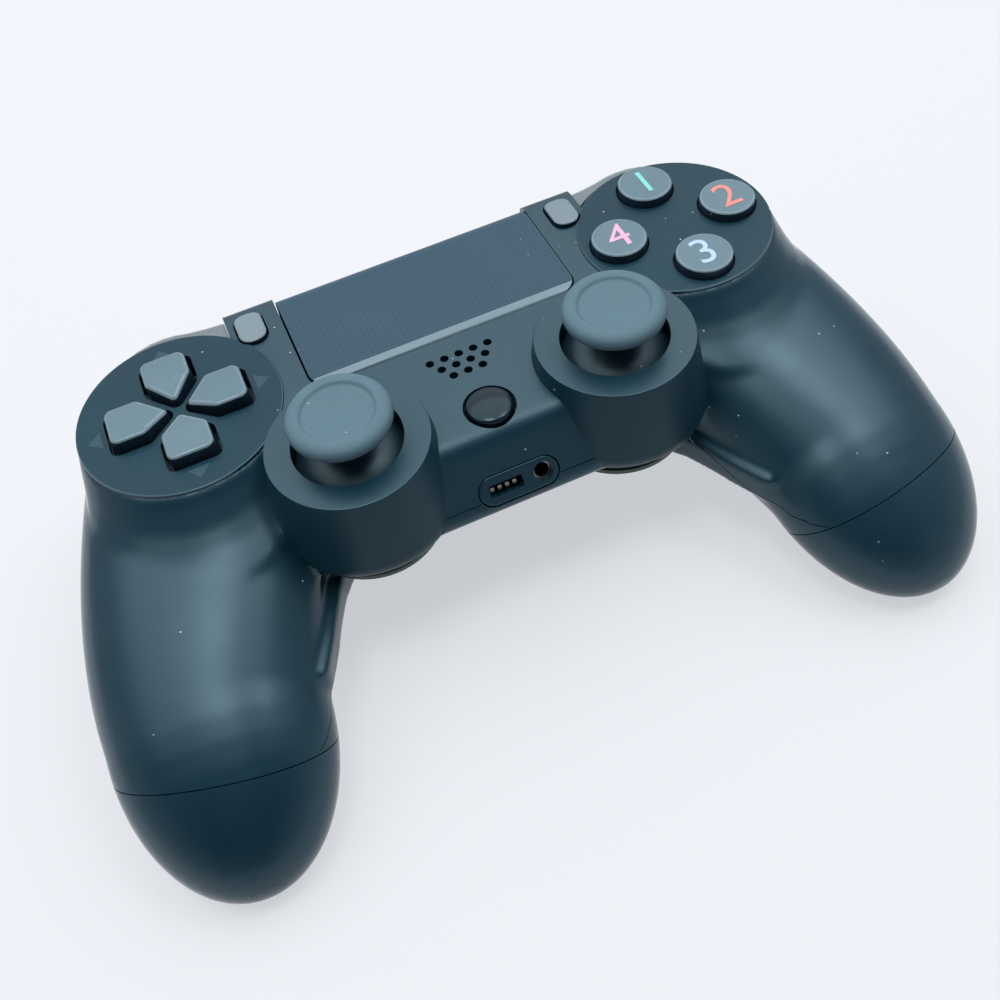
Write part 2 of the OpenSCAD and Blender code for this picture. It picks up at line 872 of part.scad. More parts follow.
module light_bar() {
  color([0.75, 0.78, 0.85])
    seat() {
      box([-light_half, block_front - wall, -light_top - light_high],
        [light_half, block_front, -light_top]);
      box([-light_half - light_flange - key_gap, block_front - wall - 1 - stack_gap,
          -light_top - light_high - light_flange],
        [light_half + light_flange + key_gap, block_front - wall - stack_gap,
          -light_top + light_flange]);
      box([-light_half, block_front - wall - stack_gap, -light_top - light_high],
        [light_half, block_front - wall, -light_top]);
    }
}

module light_board() {
  color([0.1, 0.35, 0.2])
    seat()
      box([-light_half + 6, block_front - wall - 2 - 3 * stack_gap, -light_top - light_high],
        [light_half - 6, block_front - wall - 1 - 3 * stack_gap, -light_top]);
}

module dpad_cross() {
  color([0.27, 0.33, 0.38])
    seat()
      translate([-drum_x, 0, 0]) {
        for (a = [0 : 90 : 270])
          rotate([0, 0, a])
            translate([0, 0, -cross_depth - 0.4])
              linear_extrude(height = key_rise + cross_depth + 0.4)
                key_shape(0);
        translate([0, 0, -cross_depth - cross_thick])
          cylinder(r = cross_r, h = cross_thick);
      }
}

module dpad_pivot() {
  color([0.5, 0.5, 0.52])
    seat()
      translate([-drum_x, 0, -sheet_depth + nub_gap])
        cylinder(r = nub_r, h = sheet_depth - cross_depth - cross_thick - 2 * nub_gap);
}

module dpad_membrane() {
  color([0.5, 0.5, 0.52])
    seat()
      translate([-drum_x, 0, -sheet_depth - sheet_thick]) {
        cylinder(r = drum_in_r - 1, h = sheet_thick);
        for (a = [0 : 90 : 270])
          rotate([0, 0, a])
            translate([cross_dome_off, 0, 0])
              cylinder(r = rubber_r,
                h = sheet_depth + sheet_thick - cross_depth - cross_thick - rubber_gap);
      }
}

module face_button(a) {
  color([0.27, 0.33, 0.38])
    seat()
      translate([drum_x, 0, 0])
        rotate([0, 0, a]) {
          translate([button_off, 0, -drum_top - flange_play - flange_thick])
            cylinder(r = button_r, h = drum_top + flange_play + flange_thick + button_rise);
          translate([0, 0, -drum_top - flange_play - flange_thick])
            linear_extrude(height = flange_thick)
              intersection() {
                translate([button_off, 0])
                  circle(r = button_r + flange_wide);
                circle(r = drum_in_r - key_gap);
              }
        }
}

module button_north() {
  face_button(90);
}

module button_east() {
  face_button(0);
}

module button_south() {
  face_button(270);
}

module button_west() {
  face_button(180);
}

module face_membrane() {
  color([0.5, 0.5, 0.52])
    seat()
      translate([drum_x, 0, -sheet_depth - sheet_thick]) {
        cylinder(r = drum_in_r - 1, h = sheet_thick);
        for (a = [0 : 90 : 270])
          rotate([0, 0, a])
            translate([button_off, 0, 0])
              cylinder(r = rubber_r, h = sheet_depth + sheet_thick - drum_top - flange_play
                - flange_thick - rubber_gap);
      }
}

module menu_button(s) {
  color([0.27, 0.33, 0.38])
    seat()
      translate([s * menu_x, menu_y, 0]) {
        translate([0, 0, plate_z - wall - flange_play - flange_thick])
          linear_extrude(height = wall + flange_play + flange_thick + menu_rise)
            capsule(menu_wide, menu_long);
        translate([-menu_wide / 2, -menu_long / 2 - menu_tab,
            plate_z - wall - flange_play - flange_thick])
          cube([menu_wide, menu_long + 2 * menu_tab, flange_thick]);
      }
}

module share_button() {
  menu_button(-1);
}

module options_button() {
  menu_button(1);
}

module menu_switches() {
  color([0.6, 0.6, 0.62])
    seat()
      for (s = [-1, 1])
        translate([s * menu_x, menu_y - 1, frame_z + stack_gap])
          click_switch(plate_z - wall - flange_play - flange_thick - switch_room
            - frame_z - stack_gap);
}

module home_button() {
  color([0.05, 0.06, 0.08])
    seat()
      translate([0, home_y, plate_z - wall - flange_play - flange_thick]) {
        cylinder(r = home_r, h = wall + flange_play + flange_thick + home_rise);
        cylinder(r = home_r + flange_wide, h = flange_thick);
      }
}

module home_switch() {
  color([0.6, 0.6, 0.62])
    seat()
      translate([0, home_y, frame_z + stack_gap])
        click_switch(plate_z - wall - flange_play - flange_thick - switch_room
          - frame_z - stack_gap);
}

module inner_frame() {
  color([0.8, 0.8, 0.78])
    seat()
      translate([0, 0, frame_z - frame_thick])
        linear_extrude(height = frame_thick)
          difference() {
            union() {
              for (s = [-1, 1]) {
                translate([s * drum_x, 0])
                  circle(r = drum_in_r - 0.6);
                translate([s * menu_x - switch_side / 2, 0])
                  square([switch_side, menu_y + 3]);
              }
              translate([-drum_x, -frame_bar])
                square([2 * drum_x, 2 * frame_bar]);
              translate([-frame_tongue, home_y - 3])
                square([2 * frame_tongue, -home_y]);
            }
            for (s = [-1, 1])
              translate([s * stick_x, stick_y])
                circle(r = dome_hole_r);
          }
}

module speaker() {
  color([0.15, 0.15, 0.16])
    seat()
      translate([0, grille_y - grille_row, frame_z + stack_gap]) {
        cylinder(r = speaker_r, h = 3);
        cylinder(r = speaker_r - 1.4, h = plate_z - wall - 3 * stack_gap - frame_z);
      }
}

module main_board() {
  color([0.1, 0.35, 0.2])
    seat()
      translate([0, 0, main_z - board_thick])
        linear_extrude(height = board_thick) {
          difference() {
            translate([-main_half, stick_y + stick_base_half])
              square([2 * main_half, main_front - stick_y - stick_base_half]);
            both()
              translate([pocket_x - wall - key_gap, pocket_y - wall - key_gap])
                square(main_half);
          }
          for (s = [-1, 1])
            translate([s * stick_x, stick_y])
              circle(r = 1.42 * stick_base_half);
        }
}

module battery_tray() {
  color([0.12, 0.12, 0.13])
    seat() {
      box([-battery_half - tray_wall - 0.4, battery_near - tray_wall - 0.4, tray_z - tray_wall],
        [battery_half + tray_wall + 0.4, battery_near + battery_wide + tray_wall + 0.4, tray_z]);
      for (s = [-1, 1])
        translate([s * (battery_half + 0.4 + tray_wall / 2) - tray_wall / 2, battery_near,
            inner_floor_z + stack_gap])
          cube([tray_wall, battery_wide, tray_z - inner_floor_z - stack_gap]);
    }
}

module battery_pack() {
  color([0.2, 0.3, 0.5])
    seat()
      box([-battery_half, battery_near, battery_z - battery_high],
        [battery_half, battery_near + battery_wide, battery_z]);
}

module usb_board() {
  color([0.1, 0.35, 0.2])
    seat()
      box([-usb_wide, block_front - usb_long - 2.6, -usb_depth + usb_high / 2 + stack_gap],
        [usb_wide, block_front - wall - 1 - 4 * stack_gap - 1,
          -usb_depth + usb_high / 2 + stack_gap + board_thick]);
}

module usb_socket() {
  color([0.75, 0.76, 0.78])
    seat()
      difference() {
        box([-usb_wide / 2, block_front - usb_long - 1, -usb_depth - usb_high / 2],
          [usb_wide / 2, block_front - 1, -usb_depth + usb_high / 2]);
        box([-usb_wide / 2 + 0.4, block_front - usb_long, -usb_depth - usb_high / 2 + 0.4],
          [usb_wide / 2 - 0.4, block_front, -usb_depth + usb_high / 2 - 0.4]);
      }
}

module port_bezel() {
  color([0.12, 0.15, 0.18])
    seat()
      port_frame()
        translate([0, 0, -bezel_thick])
          linear_extrude(height = bezel_thick)
            difference() {
              bezel_shape(0);
              translate([jack_x, 0])
                circle(r = jack_r);
              translate([slot_x - slot_wide / 2, -slot_high / 2])
                square([slot_wide, slot_high]);
            }
}

module ext_connector() {
  color([0.1, 0.1, 0.11])
    seat()
      port_frame()
        difference() {
          translate([slot_x - slot_wide / 2 - 0.6, -slot_high / 2 - 0.6,
              -bezel_thick - stack_gap - 6])
            cube([slot_wide + 1.2, slot_high + 1.2, 6]);
          translate([slot_x - slot_wide / 2, -slot_high / 2, -bezel_thick - stack_gap - 4])
            cube([slot_wide, slot_high, 10]);
        }
}

module headset_jack() {
  color([0.1, 0.1, 0.11])
    seat()
      port_frame()
        translate([jack_x, 0, -jack_long - 0.8])
          difference() {
            cylinder(r = jack_r + jack_wall, h = jack_long + 0.8 - bezel_thick - stack_gap);
            translate([0, 0, 0.8])
              cylinder(r = jack_r, h = jack_long);
          }
}

module bumper_plan() {
  intersection() {
    difference() {
      translate([bumper_x - drum_x, bumper_y])
        circle(r = bumper_arc);
      circle(r = bumper_r);
    }
    polygon([[0, 0], [60 * cos(bumper_end), 60 * sin(bumper_end)], [0, 60],
      [pocket_x + 0.5 - drum_x, 60], [pocket_x + 0.5 - drum_x, 0]]);
  }
}

module bumper() {
  translate([0, 0, -bumper_low])
    difference() {
      union() {
        linear_extrude(height = bumper_low - bumper_top)
          translate([drum_x, 0])
            bumper_plan();
        translate([hinge_x, hinge_y, 0])
          cylinder(r = hinge_r + hinge_wall, h = bumper_low - bumper_top - 1);
      }
      translate([hinge_x, hinge_y, -1])
        cylinder(r = hinge_r + pin_clear, h = bumper_low - bumper_top - 1);
    }
}

module left_bumper() {
  color([0.16, 0.19, 0.22])
    seat()
      mirror([1, 0, 0])
        bumper();
}

module right_bumper() {
  color([0.16, 0.19, 0.22])
    seat()
      bumper();
}

module bumper_pins() {
  color([0.7, 0.71, 0.73])
    seat()
      for (s = [-1, 1])
        translate([s * hinge_x, hinge_y, -drum_depth - stack_gap - bracket_thick])
          cylinder(r = hinge_r, h = drum_depth + stack_gap + bracket_thick - bumper_top - 3);
}

module trigger() {
  from = trigger_mid - trigger_wide / 2;
  back = front_reach - trigger_plate;
  difference() {
    union() {
      side_plate(from, trigger_wide)
        polygon([[front_reach - 3.1, -drum_depth - 0.4], [front_reach - 1.7, -drum_depth - 2.5],
          [front_reach - 0.9, -trigger_depth - 1.2], [front_reach - 1.2, -trigger_depth - 9.2],
          [front_reach - 1.8, 8 - face_height], [front_reach - 0.9, 3 - face_height],
          [front_reach, 1 - face_height], [front_reach - 0.4, -face_height],
          [back - 0.6, -face_height], [back - 1.8, 5 - face_height],
          [back - 2, 11 - face_height], [back - 1.4, -trigger_depth - 7.2],
          [back - 1.6, -trigger_depth - 4.2], [trigger_y + 2, -trigger_depth - 2.8],
          [trigger_y + 2, -trigger_depth + 3.2], [front_reach - 3.2, -trigger_depth + 3.2]]);
      along_x([from, trigger_y, -trigger_depth], trigger_wide)
        circle(r = trigger_r + trigger_hub);
      box([from, trigger_y, -trigger_depth - 2.4],
        [from + trigger_wide, trigger_y + 3, -trigger_depth + 2]);
    }
    along_x([0, trigger_y, -trigger_depth], 100)
      circle(r = trigger_r + pin_clear);
  }
}

module left_trigger() {
  color([0.16, 0.19, 0.22])
    seat()
      mirror([1, 0, 0])
        trigger();
}

module right_trigger() {
  color([0.16, 0.19, 0.22])
    seat()
      trigger();
}

module trigger_pins() {
  color([0.7, 0.71, 0.73])
    seat()
      for (s = [-1, 1])
        along_x([s * trigger_mid - trigger_wide / 2 - trigger_gap - bracket_thick, trigger_y,
            -trigger_depth], trigger_wide + 2 * trigger_gap + 2 * bracket_thick)
          circle(r = trigger_r);
}

module trigger_bracket() {
  reach = trigger_wide / 2 + trigger_gap;
  difference() {
    union() {
      box([trigger_mid - reach - bracket_thick, pocket_y + stack_gap,
          -drum_depth - stack_gap - bracket_thick],
        [trigger_mid + reach + bracket_thick, hinge_y + hinge_r + 1, -drum_depth - stack_gap]);
      for (s = [-1, 1])
        translate([trigger_mid + s * (reach + bracket_thick / 2) - bracket_thick / 2,
            pocket_y + stack_gap, -trigger_depth - 3])
          cube([bracket_thick, trigger_y - pocket_y + 3, trigger_depth + 3 - drum_depth - 1]);
    }
    along_x([0, trigger_y, -trigger_depth], 100)
      circle(r = trigger_r);
    translate([hinge_x, hinge_y, -40])
      cylinder(r = hinge_r, h = 40);
  }
}

module left_trigger_bracket() {
  color([0.2, 0.2, 0.21])
    seat()
      mirror([1, 0, 0])
        trigger_bracket();
}

module right_trigger_bracket() {
  color([0.2, 0.2, 0.21])
    seat()
      trigger_bracket();
}

module trigger_springs() {
  color([0.7, 0.71, 0.73])
    seat()
      for (s = [-1, 1])
        translate([s * (trigger_mid + trigger_wide / 2 + trigger_gap + bracket_thick + 0.2
            + spring_long / 2) - spring_long / 2, 0, 0]) {
          along_x([0, trigger_y, -trigger_depth], spring_long)
            difference() {
              circle(r = trigger_r + 2 * spring_wire + 0.2);
              circle(r = trigger_r - 0.6);
            }
          translate([spring_long / 2, trigger_y - trigger_r - spring_wire, -trigger_depth])
            cylinder(r = spring_wire, h = trigger_depth - drum_depth - 1.2);
        }
}

module stick_at(s) {
  translate([s * stick_x, stick_y, -pivot_depth])
    children();
}

module stick_base(s) {
  color([0.25, 0.27, 0.3])
    seat()
      difference() {
        union() {
          translate([s * stick_x - stick_base_half, stick_y - stick_base_half,
              stick_floor_z - stick_floor])
            cube([2 * stick_base_half, 2 * stick_base_half, 5]);
          translate([s * stick_x - sensor_wide / 2, stick_y + stick_base_half - sensor_sink,
              stick_floor_z - stick_floor])
            cube([sensor_wide, sensor_front + sensor_sink, sensor_high]);
          translate([s * (stick_x + stick_base_half + (sensor_side - sensor_sink) / 2)
              - (sensor_side + sensor_sink) / 2, stick_y - sensor_wide / 2,
              stick_floor_z - stick_floor])
            cube([sensor_side + sensor_sink, sensor_wide, sensor_high]);
        }
        translate([s * stick_x - cradle_half - key_gap, stick_y - cradle_half - key_gap,
            stick_floor_z])
          cube([2 * cradle_half + 2 * key_gap, 2 * cradle_half + 2 * key_gap, 2 * pivot_depth]);
      }
}

module left_stick_base() {
  stick_base(-1);
}

module right_stick_base() {
  stick_base(1);
}

module stick_switches() {
  color([0.6, 0.6, 0.62])
    seat()
      for (s = [-1, 1])
        translate([s * stick_x, stick_y, stick_floor_z])
          cylinder(r = switch_side / 2, h = click_room - stick_click - stack_gap);
}

module stick_cradle(s) {
  inner = yoke_half + 0.3;
  color([0.7, 0.71, 0.73])
    seat()
      stick_at(s) {
        translate([-cradle_half, -cradle_half, -cradle_drop - cradle_thick])
          cube([2 * cradle_half, 2 * cradle_half, cradle_thick]);
        for (e = [-1, 1])
          difference() {
            union() {
              translate([e * (inner + ear_thick / 2) - ear_thick / 2, -3, -cradle_drop - 0.5])
                cube([ear_thick, 6, cradle_drop + 0.5]);
              along_x([e * (inner + ear_thick / 2) - ear_thick / 2, 0, 0], ear_thick)
                circle(r = 3);
            }
            along_x([-20, 0, 0], 40)
              circle(r = ear_hole_r);
          }
      }
}

module left_stick_cradle() {
  stick_cradle(-1);
}

module right_stick_cradle() {
  stick_cradle(1);
}

module stick_yoke(s) {
  color([0.3, 0.32, 0.35])
    seat()
      stick_at(s)
        difference() {
          union() {
            difference() {
              translate([-yoke_half, -yoke_length, -yoke_high])
                cube([2 * yoke_half, 2 * yoke_length, 2 * yoke_high]);
              translate([-yoke_half + yoke_bar, -yoke_length + yoke_bar, -10])
                cube([2 * yoke_half - 2 * yoke_bar, 2 * yoke_length - 2 * yoke_bar, 20]);
            }
            for (e = [-1, 1])
              along_x([e * (yoke_half + ear_thick / 2 + 0.15) - ear_thick / 2 - 0.15, 0, 0],
                  ear_thick + 0.3)
                circle(r = trunnion_r);
          }
          rotate([90, 0, 0])
            translate([0, 0, -20])
              cylinder(r = ear_hole_r - 0.2, h = 40);
        }
}

module left_stick_yoke() {
  stick_yoke(-1);
}

module right_stick_yoke() {
  stick_yoke(1);
}

module stick_post(s) {
  color([0.75, 0.76, 0.78])
    seat()
      stick_at(s) {
        translate([0, 0, -1.6])
          cylinder(r = post_r, h = 1.6 + pivot_depth + cap_top - cap_dish - 1.6);
        rotate([90, 0, 0])
          translate([0, 0, -yoke_length + 0.2])
            cylinder(r = trunnion_r - 0.2, h = 2 * yoke_length - 0.4);
      }
}

module left_stick_post() {
  stick_post(-1);
}

module right_stick_post() {
  stick_post(1);
}

module stick_dome(s) {
  color([0.05, 0.06, 0.08])
    seat()
      stick_at(s)
        rotate_extrude() {
          intersection() {
            difference() {
              circle(r = dome_r, $fn = 72);
              circle(r = dome_r - dome_wall, $fn = 72);
            }
            polygon([[post_r + pin_clear, 0], [post_r + pin_clear, 30],
              [60 * sin(dome_angle), 60 * cos(dome_angle)],
              [8 * sin(dome_angle), 8 * cos(dome_angle)]]);
          }
          translate([post_r + pin_clear, dome_r - dome_wall - 0.4])
            square([neck_r - post_r, cap_top - cap_thick + pivot_depth - dome_r
              + dome_wall + 0.4 - stack_gap]);
        }
}

module left_stick_dome() {
  stick_dome(-1);
}

module right_stick_dome() {
  stick_dome(1);
}

module stick_cap(s) {
  color([0.35, 0.41, 0.46])
    seat()
      translate([s * stick_x, stick_y, cap_top - cap_thick])
        rotate_extrude()
          polygon([[post_r + pin_clear, 0], [cap_r - 2, 0], [cap_r - 0.8, 0.5], [cap_r, 1.6],
            [cap_r, cap_thick - 1.2], [cap_r - 0.5, cap_thick - 0.3], [cap_r - 1.4, cap_thick],
            [cap_r - 2.4, cap_thick - 0.4], [cap_r - 4, cap_thick - cap_dish + 0.1],
            [0, cap_thick - cap_dish], [0, cap_thick - cap_dish - 1.5],
            [post_r + pin_clear, cap_thick - cap_dish - 1.5]]);
}

module left_stick_cap() {
  stick_cap(-1);
}

module right_stick_cap() {
  stick_cap(1);
}

module motor_can(s) {
  color([0.7, 0.71, 0.73])
    seat() {
      along_x([s * (motor_x + motor_long / 2) - motor_long / 2, motor_y, -motor_depth],
          motor_long)
        circle(r = motor_r);
    }
}

module left_motor_can() {
  motor_can(-1);
}

module right_motor_can() {
  motor_can(1);
}

module motor_weight(s) {
  reach = motor_x + motor_long + weight_gap + weight_long / 2;
  color([0.55, 0.56, 0.58])
    seat() {
      along_x([s * reach - weight_long / 2, motor_y, -motor_depth], weight_long)
        intersection() {
          circle(r = weight_r);
          translate([-1.8, -20])
            square([20, 40]);
        }
      along_x([s * (reach - weight_gap / 4) - weight_long / 2 - weight_gap / 4, motor_y,
          -motor_depth], weight_long + weight_gap / 2)
        circle(r = shaft_r);
    }
}

module left_motor_weight() {
  motor_weight(-1);
}

module right_motor_weight() {
  motor_weight(1);
}

module shell_screws() {
  color([0.7, 0.71, 0.73])
    seat()
      for (s = [-1, 1])
        for (p = [[screw_front[0], screw_front[1], -seat_front],
            [screw_rear[0], screw_rear[1], -seat_rear]])
          translate([s * p[0], p[1], p[2]]) {
            translate([0, 0, -head_high])
              cylinder(r = head_r, h = head_high);
            cylinder(r = screw_r, h = screw_long);
          }
}

module pad_ribbon() {
  color([0.8, 0.5, 0.2])
    seat()
      box([-ribbon_x, frame_bar + stack_gap, main_z + stack_gap],
        [ribbon_wide - ribbon_x, frame_bar + stack_gap + ribbon_thick,
          plate_z + pad_rise - pad_thick - board_thick - ribbon_room]);
}

top_shell();
bottom_shell();
touchpad_cover();
touch_sensor_board();
touch_switch();
light_bar();
light_board();
dpad_cross();
dpad_pivot();
dpad_membrane();
button_north();
button_east();
button_south();
button_west();
face_membrane();
share_button();
options_button();
menu_switches();
home_button();
home_switch();
inner_frame();
speaker();
main_board();
battery_tray();
battery_pack();
usb_board();
usb_socket();
port_bezel();
ext_connector();
headset_jack();
left_bumper();
right_bumper();
bumper_pins();
left_trigger();
right_trigger();
trigger_pins();
left_trigger_bracket();
right_trigger_bracket();
trigger_springs();
left_stick_base();
right_stick_base();
stick_switches();
left_stick_cradle();
right_stick_cradle();
left_stick_yoke();
right_stick_yoke();
left_stick_post();
right_stick_post();
left_stick_dome();
right_stick_dome();
left_stick_cap();
right_stick_cap();
left_motor_can();
right_motor_can();
left_motor_weight();
right_motor_weight();
shell_screws();
pad_ribbon();
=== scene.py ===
import bpy, bmesh, json, math
from mathutils import Matrix, Vector


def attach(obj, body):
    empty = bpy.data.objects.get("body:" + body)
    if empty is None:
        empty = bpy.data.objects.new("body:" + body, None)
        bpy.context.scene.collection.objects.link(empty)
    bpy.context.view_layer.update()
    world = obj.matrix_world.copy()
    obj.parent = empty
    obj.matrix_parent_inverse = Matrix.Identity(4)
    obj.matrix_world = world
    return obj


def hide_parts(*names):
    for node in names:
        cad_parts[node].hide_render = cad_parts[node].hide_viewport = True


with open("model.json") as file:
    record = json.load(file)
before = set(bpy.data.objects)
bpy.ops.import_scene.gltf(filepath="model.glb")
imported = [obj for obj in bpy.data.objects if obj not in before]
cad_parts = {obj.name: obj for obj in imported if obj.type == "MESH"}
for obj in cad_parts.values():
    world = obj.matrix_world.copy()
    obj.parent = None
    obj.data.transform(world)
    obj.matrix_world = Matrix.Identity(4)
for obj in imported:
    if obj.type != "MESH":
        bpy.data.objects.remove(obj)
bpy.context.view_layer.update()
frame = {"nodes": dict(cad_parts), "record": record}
nodes = frame["nodes"]
scene = bpy.context.scene
scene.view_settings.view_transform = "Standard"

# camera, set to the photograph's view
shot = {"place": (-0.033635, -0.117358, 0.180923), "forward": (0.15875, 0.57124, -0.80528),
        "up": (0.3779, 0.7184, 0.5841), "lens": 38.62, "sensor": 36, "clip": 0.005}
bpy.ops.object.select_all(action="DESELECT")
bpy.ops.object.camera_add(location=shot["place"])
camera = bpy.context.object
forward = Vector(shot["forward"]).normalized()
right = forward.cross(Vector(shot["up"])).normalized()
camera.rotation_euler = Matrix((right, right.cross(forward), -forward)).transposed().to_euler()
camera.data.lens = shot["lens"]
camera.data.sensor_width = shot["sensor"]
camera.data.clip_start = shot["clip"]
scene.camera = camera
print("camera set")

# everything is drawn in millimetres round the middle of the button line, then set down in the part's place
seat = {"toBack": 24.9, "toTop": 43.0}
perMetre = 1000
weld = {"spun": 0.0008, "wrapped": 0.0005}
sharpEdge = 0.5  # radians
faceTilt = {"side": 0.4, "edge": 0.968}  # upward part of a face's normal; below these, faces get painted shade or painted edge highlight


def clearPick():
    if bpy.context.object and bpy.context.object.mode != "OBJECT":
        bpy.ops.object.mode_set(mode="OBJECT")
    bpy.ops.object.select_all(action="DESELECT")


def pick(*pieces):
    clearPick()
    for piece in pieces:
        piece.select_set(True)
    bpy.context.view_layer.objects.active = pieces[0]


def selectAll():
    bpy.ops.mesh.select_all(action="SELECT")


def openEdit(piece):
    pick(piece)
    bpy.ops.object.mode_set(mode="EDIT")
    selectAll()


def closeEdit():
    selectAll()
    bpy.ops.mesh.normals_make_consistent(inside=False)
    bpy.ops.object.mode_set(mode="OBJECT")


def drawOutline(name, points):  # a filled outline with its corners set one by one
    clearPick()
    bpy.ops.mesh.primitive_circle_add(vertices=len(points), radius=1, fill_type="NGON")
    piece = bpy.context.object
    piece.name = piece.data.name = name
    for corner, point in zip(piece.data.vertices, points):
        corner.co = point
    return piece


def pushOut(piece, way):  # the flat outline becomes a solid
    openEdit(piece)
    bpy.ops.mesh.extrude_region_move(TRANSFORM_OT_translate={"value": way})
    closeEdit()
    return piece


def prism(name, outline, low, high):  # plan outline between two heights
    return pushOut(drawOutline(name, [(x, y, low) for x, y in outline]), (0, 0, high - low))


def sidePrism(name, outline, fromX, toX):  # side outline (y, z) between two places along x
    return pushOut(drawOutline(name, [(fromX, y, z) for y, z in outline]), (toX - fromX, 0, 0))


def turnRound(name, profile, centre, steps):  # a closed profile (radius, height) spun round an upright axis
    piece = drawOutline(name, [(centre[0] + r, centre[1], z) for r, z in profile])
    openEdit(piece)
    bpy.ops.mesh.delete(type="ONLY_FACE")
    selectAll()
    bpy.ops.mesh.spin(steps=steps, angle=2 * math.pi, center=(centre[0], centre[1], 0), axis=(0, 0, 1))
    selectAll()
    bpy.ops.mesh.remove_doubles(threshold=weld["spun"])
    selectAll()
    bpy.ops.mesh.delete_loose(use_verts=True, use_edges=True, use_faces=False)
    closeEdit()
    return piece


def roundCorners(points, radius, steps):  # a radius for all corners, or one each
    straight, share = 1.55, 0.49  # half angle of a flat corner, longest part of an edge a round may take
    path = []
    for i, point in enumerate(points):
        before, here, after = (Vector(points[k % len(points)]) for k in (i - 1, i, i + 1))
        size = radius[i] if isinstance(radius, (list, tuple)) else radius
        toBefore, toAfter = (before - here).normalized(), (after - here).normalized()
        half = toBefore.angle(toAfter) / 2
        if size <= 0 or half > straight:
            path.append(tuple(here))
            continue
        reach = min(size / math.tan(half), share * (before - here).length, share * (after - here).length)
        size = reach * math.tan(half)
        middle = here + (toBefore + toAfter).normalized() * (size / math.sin(half))
        start, end = here + toBefore * reach - middle, here + toAfter * reach - middle
        a = math.atan2(start.y, start.x)
        sweep = (math.atan2(end.y, end.x) - a + math.pi) % (2 * math.pi) - math.pi
        turns = [a + sweep * k / steps for k in range(steps + 1)]
        path += [(middle.x + size * math.cos(turn), middle.y + size * math.sin(turn)) for turn in turns]
    return path


def arc(middle, radius, fromAngle, toAngle, steps):
    turns = [math.radians(fromAngle + (toAngle - fromAngle) * k / steps) for k in range(steps + 1)]
    return [(middle[0] + radius * math.cos(turn), middle[1] + radius * math.sin(turn)) for turn in turns]


def box(left, near, right, far):
    return [(left, near), (right, near), (right, far), (left, far)]


def ring(middle, radius, step):  # a full circle with a corner every few degrees
    return arc(middle, radius, 0, 360 - step, 360 // step - 1)


def setAll(thing, settings):
    for name, value in settings.items():
        setattr(thing, name, value)


def apply(piece, kind, **settings):  # a modifier, taken into the mesh at once
    pick(piece)
    work = piece.modifiers.new(kind, kind)
    setAll(work, settings)
    bpy.ops.object.modifier_apply(modifier=work.name)


def combine(piece, other, how):
    apply(piece, "BOOLEAN", operation=how, object=other, solver="MANIFOLD")
    bpy.data.objects.remove(other, do_unlink=True)
    return piece


def add(piece, other):
    return combine(piece, other, "UNION")


def cut(piece, other):
    return combine(piece, other, "DIFFERENCE")


def keep(piece, other):
    return combine(piece, other, "INTERSECT")


def copyOf(piece, name):
    twin = piece.copy()
    twin.data = piece.data.copy()
    twin.name = twin.data.name = name
    scene.collection.objects.link(twin)
    return twin


def otherSide(piece, name):  # the same piece on the other hand
    twin = copyOf(piece, name)
    openEdit(twin)
    bpy.ops.transform.resize(value=(-1, 1, 1), center_override=(0, 0, 0))
    closeEdit()
    return twin


def turnFlat(piece, angle, centre):
    there, back = (Matrix.Translation((way * centre[0], way * centre[1], 0)) for way in (1, -1))
    piece.data.transform(there @ Matrix.Rotation(math.radians(angle), 4, "Z") @ back)
    return piece


def bevelEdges(piece, test, width):  # rounds the edges whose two ends pass the test
    openEdit(piece)
    bpy.ops.mesh.select_mode(type="EDGE")
    bpy.ops.mesh.select_all(action="DESELECT")
    net = bmesh.from_edit_mesh(piece.data)
    net.normal_update()
    for edge in net.edges:
        sharp = len(edge.link_faces) == 2 and edge.calc_face_angle(0) > sharpEdge
        if sharp and all(test(corner.co) for corner in edge.verts):
            edge.select = True
    bmesh.update_edit_mesh(piece.data)
    bpy.ops.mesh.bevel(offset=width, segments=3, profile=0.5, affect="EDGES", clamp_overlap=True)
    bpy.ops.mesh.select_mode(type="VERT")
    closeEdit()
    return piece


def joinAll(pieces, name):
    pick(*pieces)
    bpy.ops.object.join()
    joined = bpy.context.object
    joined.name = joined.data.name = name
    return joined


def partFinishes(piece, sides, edges):  # upright faces get a darker finish as painted shade, rounded edges the finish given for them, on keys and buttons a paler one as painted highlight
    piece.data.materials.append(sides)
    piece.data.materials.append(edges)
    for face in piece.data.polygons:
        up = face.normal.z
        face.material_index = 1 if up < faceTilt["side"] else 2 if up < faceTilt["edge"] else 0
    return piece


def setDown(piece, body, stands, finish, smooth=35):  # into the part's place, with its body and finish
    pick(piece)
    piece.scale = (1 / perMetre, 1 / perMetre, 1 / perMetre)
    piece.location = (0, seat["toBack"] / perMetre, seat["toTop"] / perMetre)
    bpy.ops.object.transform_apply(location=True, rotation=True, scale=True)
    bpy.ops.object.shade_smooth_by_angle(angle=math.radians(smooth))
    apply(piece, "WEIGHTED_NORMAL", keep_sharp=True)  # flat faces stay flat beside small rounds
    piece.data.materials.clear()
    piece.data.materials.append(finish)
    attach(piece, body)
    if stands:
        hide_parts(*stands)
    clearPick()
    return piece


# finishes: one shared group gives moulded grain, cloudy handling marks and dust
usual = {"grain": 2600, "cloud": 45, "dust": 0.3, "bump": 0.25, "depth": 0.00004, "coatRough": 0.05,
         "metal": 0, "specular": 0.5, "tint": (1, 1, 1)}
dustLook = {"cells": 420, "size": 0.07, "patches": 130, "cover": 0.58, "colour": (0.55, 0.62, 0.66)}
dotLook = {"edge": 0.62, "strength": 0.55}
slantLook = {"blend": 0.5, "from": 0.35, "to": 0.80}


